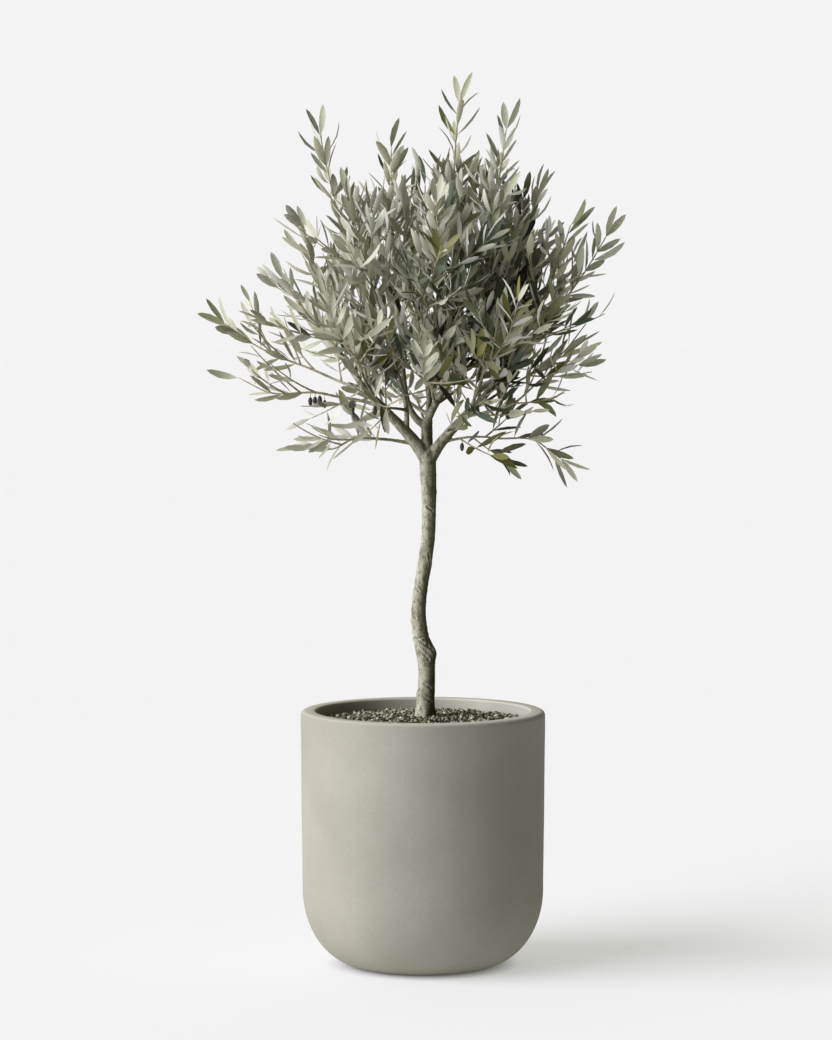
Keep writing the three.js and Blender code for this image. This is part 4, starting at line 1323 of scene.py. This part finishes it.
# %% Deal out the leaves
STRAY = 0.5
NO_SPACE = -1
leaf_random = np.random.default_rng(2024)
spray_shades, dealt = {}, []
for shoot in shoots:
    leading = shoot.rank == 0
    space = NO_SPACE if shoot.space is None else shoot.space
    # Each spray takes its colours from the painted sun and shade at its tip.
    if shoot.spray not in spray_shades:
        top_shares, under_shares = shares_at(shoot.curve.at(1.0), leading)
        spray_shades[shoot.spray] = (
            leaf_random.choice(len(TOPS), p=top_shares), leaf_random.choice(len(UNDERS), p=under_shares))
    for leaf in leaves_of(shoot, leaf_random):
        if leaf_random.random() > shoot.fullness:
            continue
        top, under = spray_shades[shoot.spray]
        if leaf_random.random() < STRAY:
            top = leaf_random.choice(len(TOPS), p=shares_at(leaf.root, leading)[0])
        dealt.append((*leaf, shoot.owner, space, leading, top, len(TOPS) + under))
roots, headings, faces, sizes, owners, spaces, leads, tops, unders = map(np.array, zip(*dealt))
print("leaves dealt out:", len(dealt))

# %% [markdown]
# ## Openings
#
# Between the leading sprays the sky shows. A leaf whose middle would lie in such an opening is left out,
# and so is one in the bare core, outside its mass's space or outside the crown. Only the leaves of a
# leading shoot may stand out of the crown or across an opening.

# %% Keep the leaves that fit
OPENINGS = [
    # x and height of the middle, half the width and half the height
    (-134, 1470, 36, 62), (10, 1458, 15, 95), (232, 1424, 36, 52), (-222, 1306, 34, 36),
    (-262, 1038, 62, 24), (-248, 1132, 26, 18), (105, 925, 44, 22), (-268, 1376, 22, 58),
]
MIDDLE_HALF, TIP_HALF = 1.5, 0.2


def in_opening(points):
    """Whether points lie in one of the gaps between the leading sprays."""
    return np.any([((points[..., 0] - x) / across) ** 2 + ((points[..., 2] - z) / high) ** 2 < 1
                   for x, z, across, high in OPENINGS], axis=0)


lengths = LEAF["length"] * sizes
middles = roots + headings * (lengths * 0.6)[:, None]
tips = roots + headings * lengths[:, None]
keep = np.zeros(len(dealt), bool)
for space in range(NO_SPACE, len(masses)):
    mine = spaces == space
    owner = None if space == NO_SPACE else space
    keep[mine] = fits(middles[mine], MIDDLE_HALF, owner) & fits(tips[mine], TIP_HALF, owner)
keep &= leads | ((depth_in(tips, CROWN) < 1) & ~in_opening(middles))
keep &= depth_in(middles, CORE) >= 1
print("leaves kept:", int(keep.sum()))

# %% Roll, bow and width of each leaf
across_ways = unit(np.cross(headings, faces))
up_ways = np.cross(across_ways, headings)
rolls = leaf_random.normal(0, 0.45, len(dealt))[:, None]
acrosses = across_ways * np.cos(rolls) + up_ways * np.sin(rolls)
uppers = up_ways * np.cos(rolls) - across_ways * np.sin(rolls)
bows = leaf_random.normal(0.05, 0.07, len(dealt))
widths = LEAF["width"] * sizes ** 0.7 * leaf_random.uniform(0.74, 1.24, len(dealt)) / 2
print("widest leaf, mm:", round(2 * widths.max(), 1))

# %% Join the leaves
along_share, across_share, fold_share, thick_share = blade_points.T


def leaf_points(chosen):
    """The points of the chosen leaves, one row of points for each."""
    length, width = lengths[chosen][:, None], widths[chosen][:, None]
    rise = bows[chosen][:, None] * length * (along_share * (1 - along_share) * -4)
    rise = rise + width * BLADE_FOLD * fold_share + BLADE_THICK / 2 * thick_share
    return (roots[chosen][:, None] + (length * along_share)[..., None] * headings[chosen][:, None]
            + (width * across_share)[..., None] * acrosses[chosen][:, None]
            + rise[..., None] * uppers[chosen][:, None])


for part in ("left", "front", "top", "right", "back"):
    inside = [number for number, name in enumerate(mass_names) if name.split("_")[1] == part]
    chosen = np.flatnonzero(keep & np.isin(owners, inside))
    corners = blade_corners + (np.arange(len(chosen)) * len(blade_points))[:, None, None]
    shades = np.repeat(np.stack([tops[chosen], unders[chosen]], 1), top_count, axis=1)
    heap = Heap()
    heap.add(leaf_points(chosen), corners, shades.ravel())
    name = "leaves_" + part
    add_piece(name, heap.mesh(name), leaf_finishes, [mass_names[number] for number in inside], 60)

# %% [markdown]
# ## Olives
#
# A few ripe olives, nearly black, hang under the lower shoots on short stalks. They are the glossiest
# thing on the plant, dulled here and there by a waxy bloom.

# %% Where the olives hang
OLIVE = {"length": 17, "width": 8.8, "stalk": 8, "stalk_radius": 0.6}
OLIVES = {
    # the shoot or limb that carries them, and the shares of its length where they hang
    "foliage_left_long": (0.01, 0.08, 0.15, 0.23), "branch_left_long": (0.52, 0.64),
    "bough_left_inner": (0.92,), "branch_right_drop": (0.42,), "foliage_right_side": (0.04, 0.14),
    "foliage_front_low_left": (0.3,),
}
carriers = {name: limb["curve"] for name, limb in limbs.items()}
carriers |= {mass["name"]: mass["stem"] for mass in masses}
olive_feet = [carriers[name].at(share) for name, shares in OLIVES.items() for share in shares]
print("olives:", len(olive_feet))

# %% Olives
olive_points, olive_corners = template(
    lambda shape: bmesh.ops.create_uvsphere(shape, u_segments=14, v_segments=10, radius=0.5))
olive_heap = Heap()
olive_random = np.random.default_rng(7)
for foot in olive_feet:
    lean = np.array([*olive_random.normal(0, 0.28, 2), -1.0])
    end = foot + unit(lean) * OLIVE["stalk"] * olive_random.uniform(0.6, 1.6)
    size = np.array([OLIVE["width"], OLIVE["width"], OLIVE["length"]]) * olive_random.uniform(0.86, 1.05)
    stalk = sweep(foot, lean, end + [0, 0, -1], (0, 0, -1))
    twig_heap.add(*tube(stalk, lambda share: np.full(len(share), OLIVE["stalk_radius"]), 5, 4))
    olive_heap.add(olive_points * size + end + np.array([0, 0, -size[2] / 2]), olive_corners)
print("olive points:", olive_heap.count)

# %% Olive finish
olive_skin = Finish("ripe_olive_skin", Specular_IOR_Level=0.5)
bloom = olive_skin.noise(160.0, detail=2.0)
olive_skin.set("Base Color", olive_skin.steps(bloom, (0.35, srgb(24, 26, 18)), (0.7, srgb(52, 54, 38))))
olive_skin.set("Roughness", 0.28 + 0.2 * bloom)
with_olives = [name for name in OLIVES if name in mass_names]
add_piece("olives", olive_heap.mesh("olives"), [olive_skin], with_olives)
add_piece("twigs", twig_heap.mesh("twigs"), [twig_bark], mass_names)
